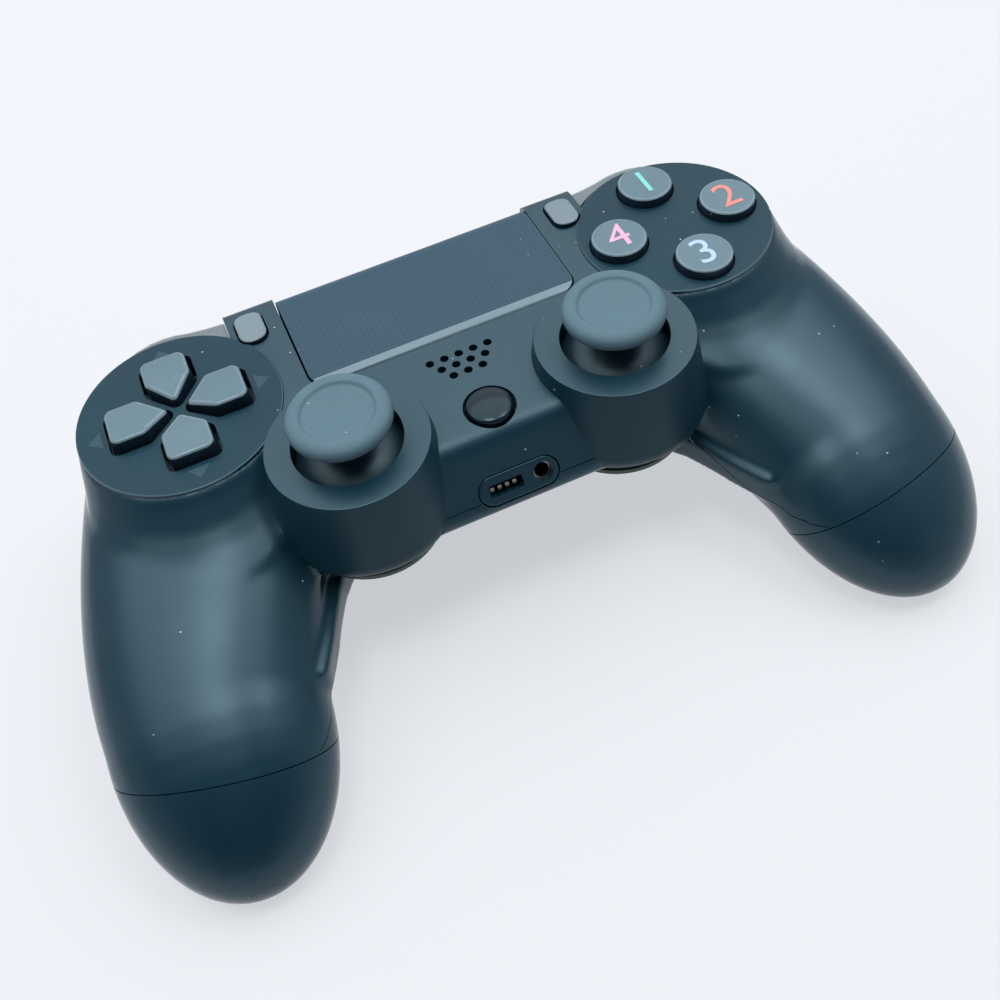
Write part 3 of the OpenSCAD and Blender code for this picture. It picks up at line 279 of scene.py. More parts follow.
def feed(tree, node, values):  # outputs are linked, numbers and colours are set
    for label, value in values.items():
        if isinstance(value, bpy.types.NodeSocket):
            tree.links.new(value, node.inputs[label])
        else:
            node.inputs[label].default_value = (*value, 1) if isinstance(value, tuple) else value


def addNode(tree, kind, values, **settings):
    node = tree.nodes.new("ShaderNode" + kind)
    setAll(node, settings)
    feed(tree, node, values)
    return node


def addMath(tree, how, a, b):
    return addNode(tree, "Math", {0: a, 1: b}, operation=how).outputs[0]


def mixColours(tree, mask, first, second):
    return addNode(tree, "Mix", {"Factor": mask, 6: first, 7: second}, data_type="RGBA").outputs[2]


def spread(tree, value, low, high, start=0.3, end=0.7):  # the usual range of a noise laid out between two values
    ranges = {"From Min": start, "From Max": end, "To Min": low, "To Max": high}
    return addNode(tree, "MapRange", {"Value": value, **ranges}).outputs["Result"]


def newGroup(name, inputs, outputs):
    group = bpy.data.node_groups.new(name, "ShaderNodeTree")
    for label, value in inputs.items():
        group.interface.new_socket(label, in_out="INPUT", socket_type="NodeSocketFloat").default_value = value
    for label in outputs:
        group.interface.new_socket(label, in_out="OUTPUT", socket_type="NodeSocketFloat")
    return group, group.nodes.new("NodeGroupInput").outputs, group.nodes.new("NodeGroupOutput")


def mouldGrainGroup():
    inputs = {"Grain Scale": usual["grain"], "Cloud Scale": usual["cloud"], "Dust Amount": usual["dust"]}
    group, given, end = newGroup("mouldGrain", inputs, ["Grain", "Cloud", "Dust"])
    spot = addNode(group, "TexCoord", {}).outputs["Object"]
    grain = addNode(group, "TexNoise", {"Vector": spot, "Scale": given["Grain Scale"], "Detail": 2})
    cloud = addNode(group, "TexNoise", {"Vector": spot, "Scale": given["Cloud Scale"], "Detail": 4})
    specks = addNode(group, "TexVoronoi", {"Vector": spot, "Scale": dustLook["cells"]})
    choice = addNode(group, "TexNoise", {"Vector": spot, "Scale": dustLook["patches"], "Detail": 3})
    near = addMath(group, "LESS_THAN", specks.outputs["Distance"], dustLook["size"])
    patch = addMath(group, "GREATER_THAN", choice.outputs["Fac"], dustLook["cover"])
    dust = addMath(group, "MULTIPLY", addMath(group, "MULTIPLY", near, patch), given["Dust Amount"])
    feed(group, end, {"Grain": grain.outputs["Fac"], "Cloud": cloud.outputs["Fac"], "Dust": dust})
    return group


def fineGridGroup():  # crossed fine lines and dots on the flat directions
    group, given, end = newGroup("fineGrid", {"Pitch Scale": 560}, ["Lines", "Dots"])
    spot = addNode(group, "TexCoord", {}).outputs["Object"]
    waves = []
    for way in ("X", "Y"):
        values = {"Vector": spot, "Scale": given["Pitch Scale"], "Distortion": 0}
        waves.append(addNode(group, "TexWave", values, bands_direction=way).outputs["Fac"])
    feed(group, end, {"Lines": addMath(group, "MAXIMUM", *waves), "Dots": addMath(group, "MULTIPLY", *waves)})
    return group


mouldGrain = mouldGrainGroup()
fineGrid = fineGridGroup()


def moulded(name, dark, light, **look):  # two colours in clouds, then what differs from the usual
    finish = bpy.data.materials.new(name)
    finish.use_nodes = True
    tree = finish.node_tree
    look = {**usual, **look}
    scales = {"Grain Scale": look["grain"], "Cloud Scale": look["cloud"], "Dust Amount": look["dust"]}
    grain = addNode(tree, "Group", scales, node_tree=mouldGrain).outputs
    colour = mixColours(tree, spread(tree, grain["Cloud"], 0, 1), dark, light)
    height = grain["Grain"]
    if "dots" in look:
        grid = addNode(tree, "Group", {"Pitch Scale": look["dots"]}, node_tree=fineGrid)
        dots = addMath(tree, "GREATER_THAN", grid.outputs["Dots"], dotLook["edge"])
        colour = mixColours(tree, addMath(tree, "MULTIPLY", dots, dotLook["strength"]), colour, look["dotColour"])
    if "lines" in look:
        grid = addNode(tree, "Group", {"Pitch Scale": look["lines"]}, node_tree=fineGrid)
        height = addMath(tree, "ADD", height, addMath(tree, "MULTIPLY", grid.outputs["Lines"], look["lineHeight"]))
    colour = mixColours(tree, grain["Dust"], colour, dustLook["colour"])
    rough = spread(tree, grain["Cloud"], *look["rough"])
    if "edgeGloss" in look:  # a fine texture looks smoother when seen along the surface
        slant = addNode(tree, "LayerWeight", {"Blend": slantLook["blend"]}).outputs["Facing"]
        gloss = spread(tree, slant, 0, look["edgeGloss"], slantLook["from"], slantLook["to"])
        rough = addMath(tree, "SUBTRACT", rough, gloss)
    bump = addNode(tree, "Bump", {"Strength": look["bump"], "Distance": look["depth"], "Height": height})
    shader = tree.nodes["Principled BSDF"]
    feed(tree, shader, {"Base Color": colour, "Roughness": rough, "Normal": bump.outputs["Normal"],
                        "Metallic": look["metal"], "Specular IOR Level": look["specular"],
                        "Specular Tint": look["tint"]})
    if "coat" in look:
        feed(tree, shader, {"Coat Weight": look["coat"], "Coat Roughness": look["coatRough"]})
    return finish


cool = (0.60, 0.88, 1.0)
bodyMatte = moulded("bodyMatte", (0.0015, 0.022, 0.038), (0.003, 0.028, 0.047), tint=cool, specular=0.75,
    rough=(0.31, 0.43), dust=0.7, bump=0.26, edgeGloss=0.30)
# duller copy of the body finish; on the pod walls it is painted shade
discMatte = moulded("discMatte", (0.0015, 0.022, 0.038), (0.003, 0.030, 0.050), tint=cool, specular=0.38,
    rough=(0.38, 0.48), dust=0.8, bump=0.26)
underMatte = moulded("underMatte", (0.0015, 0.020, 0.036), (0.003, 0.026, 0.045), tint=cool, specular=0.75,
    rough=(0.33, 0.43), dust=0.4, lines=470, lineHeight=0.9, bump=0.18, edgeGloss=0.30)
padMatte = moulded("padMatte", (0.013, 0.054, 0.090), (0.018, 0.064, 0.102), specular=0.35, rough=(0.42, 0.5),
    dots=330, dotColour=(0.006, 0.022, 0.040), dust=0.25, bump=0.15)
keySatin = moulded("keySatin", (0.100, 0.160, 0.198), (0.114, 0.178, 0.216), tint=cool, rough=(0.26, 0.32), dust=0.15,
    bump=0.08)
# paler and glossier than the key tops: painted highlight on rounded key and button edges and on the touch pad's near
# slope
keyPaintedHighlight = moulded("keyPaintedHighlight", (0.17, 0.24, 0.28), (0.19, 0.26, 0.30), tint=cool, rough=(0.18, 0.24), dust=0, bump=0.04)
menuSatin = moulded("menuSatin", (0.145, 0.205, 0.240), (0.165, 0.225, 0.260), rough=(0.26, 0.32), dust=0.15,
    bump=0.08)
# darker copy of the key finish: painted shade on the upright sides of keys and buttons
keyPaintedShade = moulded("keyPaintedShade", (0.008, 0.022, 0.038), (0.012, 0.028, 0.046), tint=cool, rough=(0.34, 0.42), dust=0.45,
    bump=0.2)
glossBlack = moulded("glossBlack", (0.003, 0.008, 0.015), (0.004, 0.011, 0.019), tint=cool, specular=0.4,
    rough=(0.20, 0.26), dust=0.25, bump=0.02)
domeSatin = moulded("domeSatin", (0.008, 0.024, 0.038), (0.012, 0.030, 0.046), tint=cool, specular=0.7,
    rough=(0.36, 0.44), dust=0.5, bump=0.15)
stickRubber = moulded("stickRubber", (0.075, 0.145, 0.185), (0.095, 0.170, 0.212), specular=0.35, rough=(0.60, 0.74),
    dust=0.9, cloud=2200, grain=3200, bump=0.5)
leverSatin = moulded("leverSatin", (0.030, 0.050, 0.064), (0.038, 0.060, 0.076), tint=cool, rough=(0.22, 0.28),
    dust=0.1, bump=0.06, edgeGloss=0.14)
# far paler than the trigger finish: painted reflection of the bright room along the bumpers
bumperPaintedReflection = moulded("bumperPaintedReflection", (0.12, 0.155, 0.178), (0.14, 0.175, 0.198), specular=0.75, rough=(0.26, 0.32),
    dust=0.1, bump=0.06, edgeGloss=0.14)
lightSmoke = moulded("lightSmoke", (0.40, 0.44, 0.50), (0.48, 0.52, 0.58), rough=(0.18, 0.26), dust=0.05, bump=0.03,
    coat=0.5)
membraneRubber = moulded("membraneRubber", (0.20, 0.21, 0.22), (0.25, 0.26, 0.27), rough=(0.6, 0.75), dust=0, bump=0.2)
boardGreen = moulded("boardGreen", (0.010, 0.060, 0.030), (0.016, 0.085, 0.045), rough=(0.3, 0.42), dust=0, cloud=300,
    bump=0.1)
innerPlastic = moulded("innerPlastic", (0.012, 0.014, 0.017), (0.018, 0.020, 0.024), rough=(0.5, 0.62), dust=0,
    bump=0.2)
plainSteel = moulded("plainSteel", (0.46, 0.47, 0.49), (0.58, 0.59, 0.60), rough=(0.22, 0.36), metal=1, dust=0,
    bump=0.06)
batteryWrap = moulded("batteryWrap", (0.02, 0.024, 0.05), (0.03, 0.036, 0.07), rough=(0.35, 0.5), dust=0, bump=0.1)
ribbonFilm = moulded("ribbonFilm", (0.28, 0.11, 0.03), (0.36, 0.15, 0.05), rough=(0.25, 0.35), dust=0, bump=0.03)
contactGold = moulded("contactGold", (0.76, 0.73, 0.66), (0.86, 0.83, 0.76), rough=(0.18, 0.28), metal=1, dust=0,
    bump=0.02)
arrowGrey = moulded("arrowGrey", (0.026, 0.060, 0.084), (0.032, 0.070, 0.094), tint=cool, specular=0.3,
    rough=(0.42, 0.5), dust=0.1, bump=0.1)
inks = {"north": (0.20, 0.62, 0.60), "east": (0.72, 0.24, 0.20), "south": (0.42, 0.58, 0.80),
        "west": (0.72, 0.40, 0.58)}
inkWear = 0.92
inkFinish = {way: moulded(way + "Ink", tuple(c * inkWear for c in ink), ink, rough=(0.4, 0.5), dust=0.1, bump=0.08)
             for way, ink in inks.items()}
print("finishes ready")

# housing forms shared by both shells
grip = {"path": ((51.5, -9.2, -15.2), (61, -31, -22.8), (62.7, -47, -27.19)), "wide": (21.5, 22, 19.3),
        "high": (14.5, 14.3, 13), "square": (2.6, 2.15), "shoulder": 26, "tip": 27.2, "tipDrop": 9, "around": 64,
        "shoulderTurns": (84, 74, 62, 50, 38, 26, 13), "tipTurns": (8, 16, 24, 32, 40, 48, 56, 64, 72, 80, 85),
        "lengths": 20, "wall": 2.7}
block = {
    "half": 46, "farRound": 6, "middle": (-6, -15), "flat": 12,
    "side": [(-30.2, -0.45), (15.8, -0.45), (21.8, -0.45), (21.8, -26.4), (14.8, -30.4), (-22, -30.4),
             (-31.2, -21.2), (-37.7, -12.7)],
    "rounds": [4.5, 0, 6, 3, 3, 6, 12, 0.7],
    "plan": [(46, 40), (-46, 40), (-46, -6), (-34, -19), (-29, -50), (29, -50), (34, -19), (46, -6)]}
drum = {"x": 49.3, "r": 18.7, "inside": 17.5, "skin": 3.1, "floor": -11,
        "profile": [(0, 0), (18.4, 0), (18.62, -0.09), (18.7, -0.3), (18.7, -0.9), (18.3, -5), (0, -5)]}
pod = {
    "x": 24.8, "y": -23.4, "hole": 9.65, "pivot": -10, "ball": 14.1, "ballFloor": -13.8,
    "profile": [(0, 3), (13.95, 3), (14.12, 2.93), (14.2, 2.76), (16.6, -11.2), (16.66, -12.0), (16.58, -12.8),
                (16.3, -13.55), (15.85, -14.15), (15.25, -14.55), (14.6, -14.7), (14.6, -16), (0, -16)]}
bowl = {"r": 15.2, "top": -8, "wall": 1.5, "sweepAt": (-2, 24), "sweep": (48.2, 38.4, 24.6)}
web = {
    "low": -27.5, "high": -21.4,
    "plan": [(30, -27), (33.4, -31.0), (34.6, -32.6), (35.6, -34.4), (37.1, -37.3), (39.2, -42.0),
             (42.6, -48.5), (48, -48), (52, -36), (46, -26)]}
skirt = {
    "outward": 0.22,
    "rings": ((-16, 19, 15), (-9.2, 19, 14), (-6.4, 19, 8), (-4.6, 19, 4.8), (-3.2, 19, 3),
              (-1.8, 18.9, 1.3), (-0.9, 18.75, 0.5), (-0.25, 18.6, 0))}  # height, radius, lean
melting = {"voxel": 0.62, "quickVoxel": 0.8, "ease": 0.5, "rounds": 16}
pocket = {"angle": 43.7, "reach": 70, "inner": 36.35, "near": 8, "round": 18.0, "floor": -13,
          "lowInner": 36.3, "lowNear": 11, "lowTop": -12.85}
wall = 2.2


def handed(points, side):  # a plan outline drawn for the right hand, on either side
    return [(side * x, y) for x, y in points]


def bend(points, t):
    return (1 - t) ** 2 * points[0] + 2 * t * (1 - t) * points[1] + t * t * points[2]


def gripRing(t, push, lean, shrink, inset, drop):
    place = bend([Vector(p) for p in grip["path"]], t)
    a, b, c = (Vector(p) for p in grip["path"])
    way = (1 - t) * (b - a) + t * (c - b)
    yaw = math.atan2(way.x, -way.y)
    power = grip["square"][0] + (grip["square"][1] - grip["square"][0]) * t
    wide = (bend(grip["wide"], t) - inset) * shrink
    high = (bend(grip["high"], t) - inset) * shrink
    corners = []
    for k in range(grip["around"]):
        angle = 2 * math.pi * k / grip["around"]
        u = wide * math.copysign(abs(math.cos(angle)) ** (2 / power), math.cos(angle))
        v = high * math.copysign(abs(math.sin(angle)) ** (2 / power), math.sin(angle))
        corners.append((place.x + u * math.cos(yaw) + push * math.sin(yaw * lean),
                        place.y + u * math.sin(yaw) - push * math.cos(yaw * lean), place.z + v - drop))
    return corners


def wrapRings(name, rings):  # a grid laid over rings of equal count, closed at both ends
    around = len(rings[0])
    clearPick()
    bpy.ops.mesh.primitive_grid_add(x_subdivisions=around, y_subdivisions=len(rings) - 1, size=2)
    piece = bpy.context.object
    piece.name = piece.data.name = name
    for corner in piece.data.vertices:
        row, column = divmod(corner.index, around + 1)
        corner.co = rings[row][column % around]
    openEdit(piece)
    bpy.ops.mesh.remove_doubles(threshold=weld["wrapped"])
    selectAll()
    bpy.ops.mesh.fill_holes(sides=0)
    closeEdit()
    return piece


def inwards(outline, step):  # each corner moves in along its own normal
    path = [Vector(point) for point in outline]
    moved = []
    for i, here in enumerate(path):
        along = (path[(i + 1) % len(path)] - path[i - 1]).normalized()
        moved.append(here + Vector((along.y, -along.x)) * step)
    return moved


def roundedTop(name, outline, foot, top, edge):  # upright walls, then a quarter round up to a flat top
    rings = [[(p[0], p[1], foot) for p in outline]]
    for angle in range(0, 91, 9):
        turn = math.radians(angle)
        height = top - edge * (1 - math.sin(turn))
        rings.append([(p.x, p.y, height) for p in inwards(outline, edge * (1 - math.cos(turn)))])
    return wrapRings(name, rings)


def growGrip(name, inset):  # rings wrapped round the grip from shoulder to tip
    rings = []
    for q in grip["shoulderTurns"]:
        s = math.sin(math.radians(q))
        rings.append(gripRing(0, -(grip["shoulder"] - inset) * s, 0, (1 - s ** 3) ** (1 / 3), inset, 0))
    for k in range(grip["lengths"] + 1):
        rings.append(gripRing(k / grip["lengths"], 0, 0, 1, inset, 0))
    for q in grip["tipTurns"]:
        s = math.sin(math.radians(q))
        shrink = math.cos(math.radians(q))
        rings.append(gripRing(1, (grip["tip"] - inset) * s, 1, shrink, inset, grip["tipDrop"] * s))
    return wrapRings(name, rings)


def blockForm(name, inset):
    outline = roundCorners(block["side"], block["rounds"], 8)
    if inset:  # near the middle the outline only moves up and down
        midY, midZ = block["middle"]
        steps = [(math.copysign(inset, y - midY) * (abs(y - midY) > block["flat"]), math.copysign(inset, z - midZ))
                 for y, z in outline]
        outline = [tuple(Vector(point) - Vector(step)) for point, step in zip(outline, steps)]
    form = sidePrism(name, outline, -block["half"] + inset, block["half"] - inset)
    plan = [(x - math.copysign(inset, x), y) for x, y in block["plan"]]
    return keep(form, prism("plan", plan, -60, 30))


def podForm(name, profile, side):
    return turnRound(name, profile, (side * pod["x"], pod["y"]), 112)


def drumForm(name, profile, side):
    return turnRound(name, profile, (side * drum["x"], 0), 128)


def bowlForm(name, inset, side):  # the round under a pod, drawn in towards the near side
    r, top = bowl["r"] - inset, bowl["top"]
    profile = [(0, top), (r, top), (r, -16), (14.2 - inset, -22.6), (11 - inset, -27.2 + inset / 2),
               (6.9 - inset / 2, -29.4 + inset), (0, -30 + inset)]
    form = podForm(name, profile, side)
    wide, middle, narrow = (radius - inset for radius in bowl["sweep"])
    sweep = [(0, 0), (wide, 0), (middle, -14), (narrow, -31), (0, -31)]
    place = (side * (pod["x"] + bowl["sweepAt"][0]), pod["y"] + bowl["sweepAt"][1])
    return keep(form, turnRound("drawIn", sweep, place, 160))


def skirtForm(side):  # leans along the grip and carries the disc
    rings = []
    for height, radius, lean in skirt["rings"]:
        middle = side * (drum["x"] + skirt["outward"] * lean)
        rings.append([(middle + x, y - lean, height) for x, y in ring((0, 0), radius, 3)])
    return wrapRings("skirt", rings)


def outsideForm():
    base = growGrip("housing", 0)
    add(base, otherSide(base, "otherGrip"))
    add(base, blockForm("middle", 0))
    for side in (-1, 1):
        add(base, skirtForm(side))
        add(base, prism("web", handed(web["plan"], side), web["low"], web["high"]))  # corner between pod and grip
        add(base, bowlForm("bowl", 0, side))
    apply(base, "REMESH", mode="VOXEL", voxel_size=melting["voxel"])
    apply(base, "SMOOTH", factor=melting["ease"], iterations=melting["rounds"])
    return base


def wedge(look, inner):  # plan of what lies between a disc's middle and the far edge
    angle, reach, x = math.radians(look["angle"]), look["reach"], drum["x"]
    return [(x, 0), (x + reach * math.cos(angle), reach * math.sin(angle)), (x, reach), (inner, reach), (inner, 0)]


def pocketForm(grow, side):  # room for bumper and trigger
    near = pocket["near"] - grow
    form = prism("pocket", handed(wedge(pocket, pocket["inner"] - grow), side), pocket["floor"] - grow, 20)
    cut(form, prism("front", handed(box(0, -40, 120, near), side), -40, 40))
    cut(form, prism("round", handed(ring((drum["x"], 0), pocket["round"] - grow, 3), side), -40, 40))
    inner, near = pocket["lowInner"] - grow, pocket["lowNear"] - grow
    add(form, prism("low", handed(box(inner, near, 80, 60), side), -60, pocket["lowTop"]))
    return form


keyHole = {"tip": 1.9, "shoulder": 5.9, "end": 12.5, "half": 3.4, "corner": 0.8, "gap": 0.75, "cornerSteps": 6}


def keyOutline(grow):  # room of one direction key pointing along +x from the middle of the pad
    corner, half = keyHole["corner"], keyHole["half"]
    tip, shoulder, end = keyHole["tip"] + corner, keyHole["shoulder"] + corner, keyHole["end"] - corner
    spots = [(tip, 0), (shoulder, half), (end, half), (end, -half), (shoulder, -half)]
    grown = []
    for i, spot in enumerate(spots):
        before, after = Vector(spots[i - 1]), Vector(spots[(i + 1) % len(spots)])
        here = Vector(spot)
        inward, outward = (here - before).normalized(), (after - here).normalized()
        a = math.degrees(math.atan2(-inward.x, inward.y)) + 180
        b = math.degrees(math.atan2(-outward.x, outward.y)) + 180
        while b > a:
            b -= 360
        grown += arc(spot, corner + grow, a, b, keyHole["cornerSteps"])
    return grown


def capsule(wide, long, steps):  # a slot outline lying along x round the origin
    r, reach = wide / 2, (long - wide) / 2
    return [(x, y) for y, x in arc((0, reach), r, 0, 180, steps) + arc((0, -reach), r, 180, 360, steps)]


def roundPlate(low, high, radius):
    return roundCorners(box(*low, *high), radius, 6)


def menuPlate(side, look):  # plan of a menu button, of its hole or of the room below it
    return roundPlate((side * look["x"] - look["half"], look["near"]), (side * look["x"] + look["half"], look["far"]),
                      look["round"])


port = {"y": -35.6, "z": -9.42, "lean": 32.2, "hole": (5.9, 15.3), "bezel": (5.6, 15), "jack": (4.6, 0)}


def toPort(piece):  # pieces drawn flat at the origin go onto the leaning socket face
    lean = math.radians(port["lean"])
    out = Vector((0, -math.cos(lean), math.sin(lean)))
    up = Vector((0, math.sin(lean), math.cos(lean)))
    place = Matrix((Vector((1, 0, 0)), up, out)).transposed().to_4x4()
    place.translation = (0, port["y"], port["z"])
    piece.data.transform(place)
    return piece


screws = {"spots": ((43.5, -18, -26.6), (61, -51, -37.4)), "head": 2.2, "hole": 2.7}
buttons = {"away": 11.6, "hole": 5.7, "well": 17.2, "numeral": 9.2, "ink": 0.06, "inkAt": 1.76}
menuHole = {"x": 32.2, "half": 2.95, "near": 9.55, "far": 18.45, "round": 2.6}
menuRoom = {"x": 32.3, "half": 3, "near": 7.9, "far": 19.2, "round": 0.3}
home = {"place": (0, -25), "hole": 4.7}
padHole = {"half": 26.35, "near": -6.35, "round": 3.35, "floor": -6.55}
grille = {"rows": 3, "longest": 5, "pitch": 2.8, "far": -10.9, "rowStep": 2.27, "r": 0.8}
lightHole = {"half": 21.3, "top": -8.7, "bottom": -18.9}
chargeHole = {"half": 4.05, "top": -20.8, "bottom": -24.0}


def buttonSpot(quarter):
    angle = math.pi / 2 * quarter
    return (drum["x"] + buttons["away"] * math.cos(angle), buttons["away"] * math.sin(angle))


def farSlot(name, look):  # a hole through the far wall
    return sidePrism(name, box(14, look["top"], 40, look["bottom"]), -look["half"], look["half"])


def buildSkin():
    skin = outsideForm()
    print("housing melted", len(skin.data.polygons))
    for side in (-1, 1):
        cut(skin, pocketForm(0, side))
        add(skin, drumForm("disc", drum["profile"], side))
        add(skin, podForm("podWall", pod["profile"], side))
    hollow = growGrip("hollow", grip["wall"])
    add(hollow, otherSide(hollow, "otherHollow"))
    add(hollow, blockForm("hollowMiddle", wall + 0.2))
    ball, ballFloor = pod["ball"], pod["ballFloor"]
    podInside = arc((0, pod["pivot"]), ball, 90, 0, 14) + [(ball, ballFloor), (0, ballFloor)]
    roof, inside, floor = -drum["skin"], drum["inside"], drum["floor"]
    for side in (-1, 1):
        cut(hollow, drumForm("discRoof", box(0, 4, 21, roof), side))
        cut(hollow, pocketForm(wall, side))
        add(hollow, podForm("ball", podInside, side))
        add(hollow, bowlForm("hollowBowl", bowl["wall"], side))
        add(hollow, drumForm("well", box(0, roof, inside, floor), side))
    cut(skin, hollow)
    return skin


def cutOpenings(skin):
    for quarter in range(4):
        outline = [(-drum["x"] + x, y) for x, y in keyOutline(keyHole["gap"])]
        cut(skin, turnFlat(prism("keyHole", outline, -6, 6), 90 * quarter, (-drum["x"], 0)))
        cut(skin, prism("buttonHole", ring(buttonSpot(quarter), buttons["hole"], 5), -6, 6))
    for side in (-1, 1):
        cut(skin, prism("menuHole", menuPlate(side, menuHole), -4.2, 8))
        cut(skin, prism("menuRoom", menuPlate(side, menuRoom), -14, -2.9))
        cut(skin, prism("stickHole", ring((side * pod["x"], pod["y"]), pod["hole"], 4), -10, 30))
    cut(skin, prism("homeHole", ring(home["place"], home["hole"], 6), -10, 10))
    half, near, edge = padHole["half"], padHole["near"], padHole["round"]
    padPlan = roundCorners(box(-half, near, half, 40), [edge, edge, 0, 0], 6)
    cut(skin, prism("padHole", padPlan, padHole["floor"], 14))
    for row in range(grille["rows"]):
        count = grille["longest"] - row
        for k in range(count):
            spot = ((k - (count - 1) / 2) * grille["pitch"], grille["far"] - row * grille["rowStep"])
            cut(skin, prism("grilleHole", ring(spot, grille["r"], 15), -6, 4))
    cut(skin, toPort(prism("bezelHole", capsule(*port["hole"], 14), -14, 6)))
    cut(skin, farSlot("lightHole", lightHole))
    cut(skin, farSlot("chargeHole", chargeHole))
    for side in (-1, 1):
        for x, y, z in screws["spots"]:
            cut(skin, prism("screwHole", ring((side * x, y), screws["hole"], 10), -60, z))
    return skin


seam = {
    "fromX": 33.4, "toX": 100, "end": (0.285, -1.03, -99.6), "middle": 14.2, "middleHeight": -10.5,
    "pods": (14.1, 33.5), "podHeight": -14.85, "gap": 0.22, "endGap": 0.3, "endShift": 0.02,
    "along": [(-2, -14.4, -13.7), (-9.2, -16.6, -15.7), (-22, -19.4, -18.0), (-29.5, -20.8, -19.2),
              (-33, -21.6, -19.6), (-37, -22.6, -19.9), (-41, -24.6, -20.0), (-45, -26.7, -20.2),
              (-49, -27.8, -20.6), (-53, -27.2, -21.4), (-56.5, -26.3, -22.4), (-59.5, -25.4, -23.4),
              (-66, -24.2, -24.2)]}  # y, height inside, height outside


def endSpace(side, push, thick=60):  # leaning slab past the seam across a grip end
    a, b, c = seam["end"]
    slab = prism("gripEnd", handed([(20, -thick), (20, 0), (110, 0), (110, -thick)], side), -80, 60)
    for corner in slab.data.vertices:
        corner.co.y += a * abs(corner.co.x) + b * corner.co.z + c + push
    openEdit(slab)  # sets the normals again
    closeEdit()
    return slab


def upperSpace(drop):  # all that belongs to the upper shell, lowered a little for the seam
    low, podLow, line = seam["middleHeight"], seam["podHeight"], seam["along"]
    space = sidePrism("upperSpace", [(60, low), (60, 40), (-90, 40), (-90, low)], -seam["middle"], seam["middle"])
    overPod = [(60, low), (60, 40), (-90, 40), (-90, podLow), (-16, podLow), (-14, low)]
    overGrip = ([(60, 40), (60, line[0][1])] + [spot[:2] for spot in line]
                + [(-90, line[-1][1]), (-90, 40)])
    for side in (-1, 1):
        add(space, sidePrism("overPod", overPod, side * seam["pods"][0], side * seam["pods"][1]))
        over = sidePrism("overGrip", overGrip, side * seam["fromX"], side * seam["toX"])
        for corner in over.data.vertices:  # the seam sits lower on the inner side of the grip
            if abs(corner.co.x) > 50 and corner.co.z < 20:
                nearest = min(line, key=lambda spot: abs(spot[0] - corner.co.y) + abs(spot[1] - corner.co.z))
                corner.co.z = nearest[2]
        add(space, over)
        cut(space, endSpace(side, 0))
    space.data.transform(Matrix.Translation((0, 0, -drop)))
    return space


skin = cutOpenings(buildSkin())
print("housing cut", len(skin.data.polygons))
lowerShell = copyOf(skin, "lowerShell")
upperShell = keep(skin, upperSpace(0))
upperShell.name = upperShell.data.name = "upperShell"
lowerSpace = upperSpace(seam["gap"])
for side in (-1, 1):  # the seam across the grip ends gets its own gap
    cut(lowerShell, endSpace(side, seam["endShift"], seam["endGap"]))
cut(lowerShell, lowerSpace)
setDown(upperShell, "housing", ["top_shell"], bodyMatte, 32)
upperShell.data.materials.append(discMatte)  # the round button fields and the pod walls are duller; on the pod walls the weaker reflection is painted shade for the shaded table beside them
for face in upperShell.data.polygons:
    x, y, z = (value * perMetre for value in face.center)
    y -= seat["toBack"]
    level = face.normal.z > 0.95 and abs(z - seat["toTop"]) < 0.06
    onDisc = level and math.hypot(abs(x) - drum["x"], y) < drum["r"]
    outX, outY = x - math.copysign(pod["x"], x), y - pod["y"]
    away = math.hypot(outX, outY)
    onPod = 14 < away < 16.75 and face.normal.x * outX + face.normal.y * outY > 0.8 * away
    if onDisc or onPod:
        face.material_index = 1
setDown(lowerShell, "housing", ["bottom_shell"], underMatte, 32)
print("shells set", len(upperShell.data.polygons), len(lowerShell.data.polygons))

# touch pad: its side outline pushed across, corners rounded, near edge sloped
padLook = {"half": 26, "near": -6, "far": 21.8, "top": 0.1, "thick": 1.6, "roll": 6, "corner": 3, "edge": 0.45,
           "slope": [(-6, -0.75), (-5.75, -0.42), (-4.5, 0.02)], "slopeEnd": -4.0, "backFrom": -4.4, "farLow": -6.2}
top, roll, far, thick = padLook["top"], padLook["roll"], padLook["far"], padLook["thick"]
half, near, corner, farLow = padLook["half"], padLook["near"], padLook["corner"], padLook["farLow"]
padSide = (padLook["slope"] + [(padLook["slopeEnd"], top)] + arc((far - roll, top - roll), roll, 90, 0, 12)
           + [(far, farLow), (far - thick, farLow)] + arc((far - roll, top - roll), roll - thick, 0, 90, 12)
           + [(padLook["backFrom"], top - thick), (near, top - thick)])
touchPad = sidePrism("touchPad", padSide, -half, half)
padPlan = roundCorners(box(-half, near, half, 40), [corner, corner, 0, 0], 8)
keep(touchPad, prism("padPlan", padPlan, -20, 20))
bevelEdges(touchPad, lambda p: abs(p.x) > half - 0.1 and p.z > -5.5 and (p.z > -0.2 or p.y > 15), padLook["edge"])
setDown(touchPad, "touchpad", ["touchpad_cover"], padMatte, 40)
touchPad.data.materials.append(keyPaintedHighlight)
for face in touchPad.data.polygons:  # paler, glossier slope along the near edge: a painted highlight
    if -0.9 < face.normal.y < -0.2 and face.normal.z > 0.3:
        face.material_index = 1

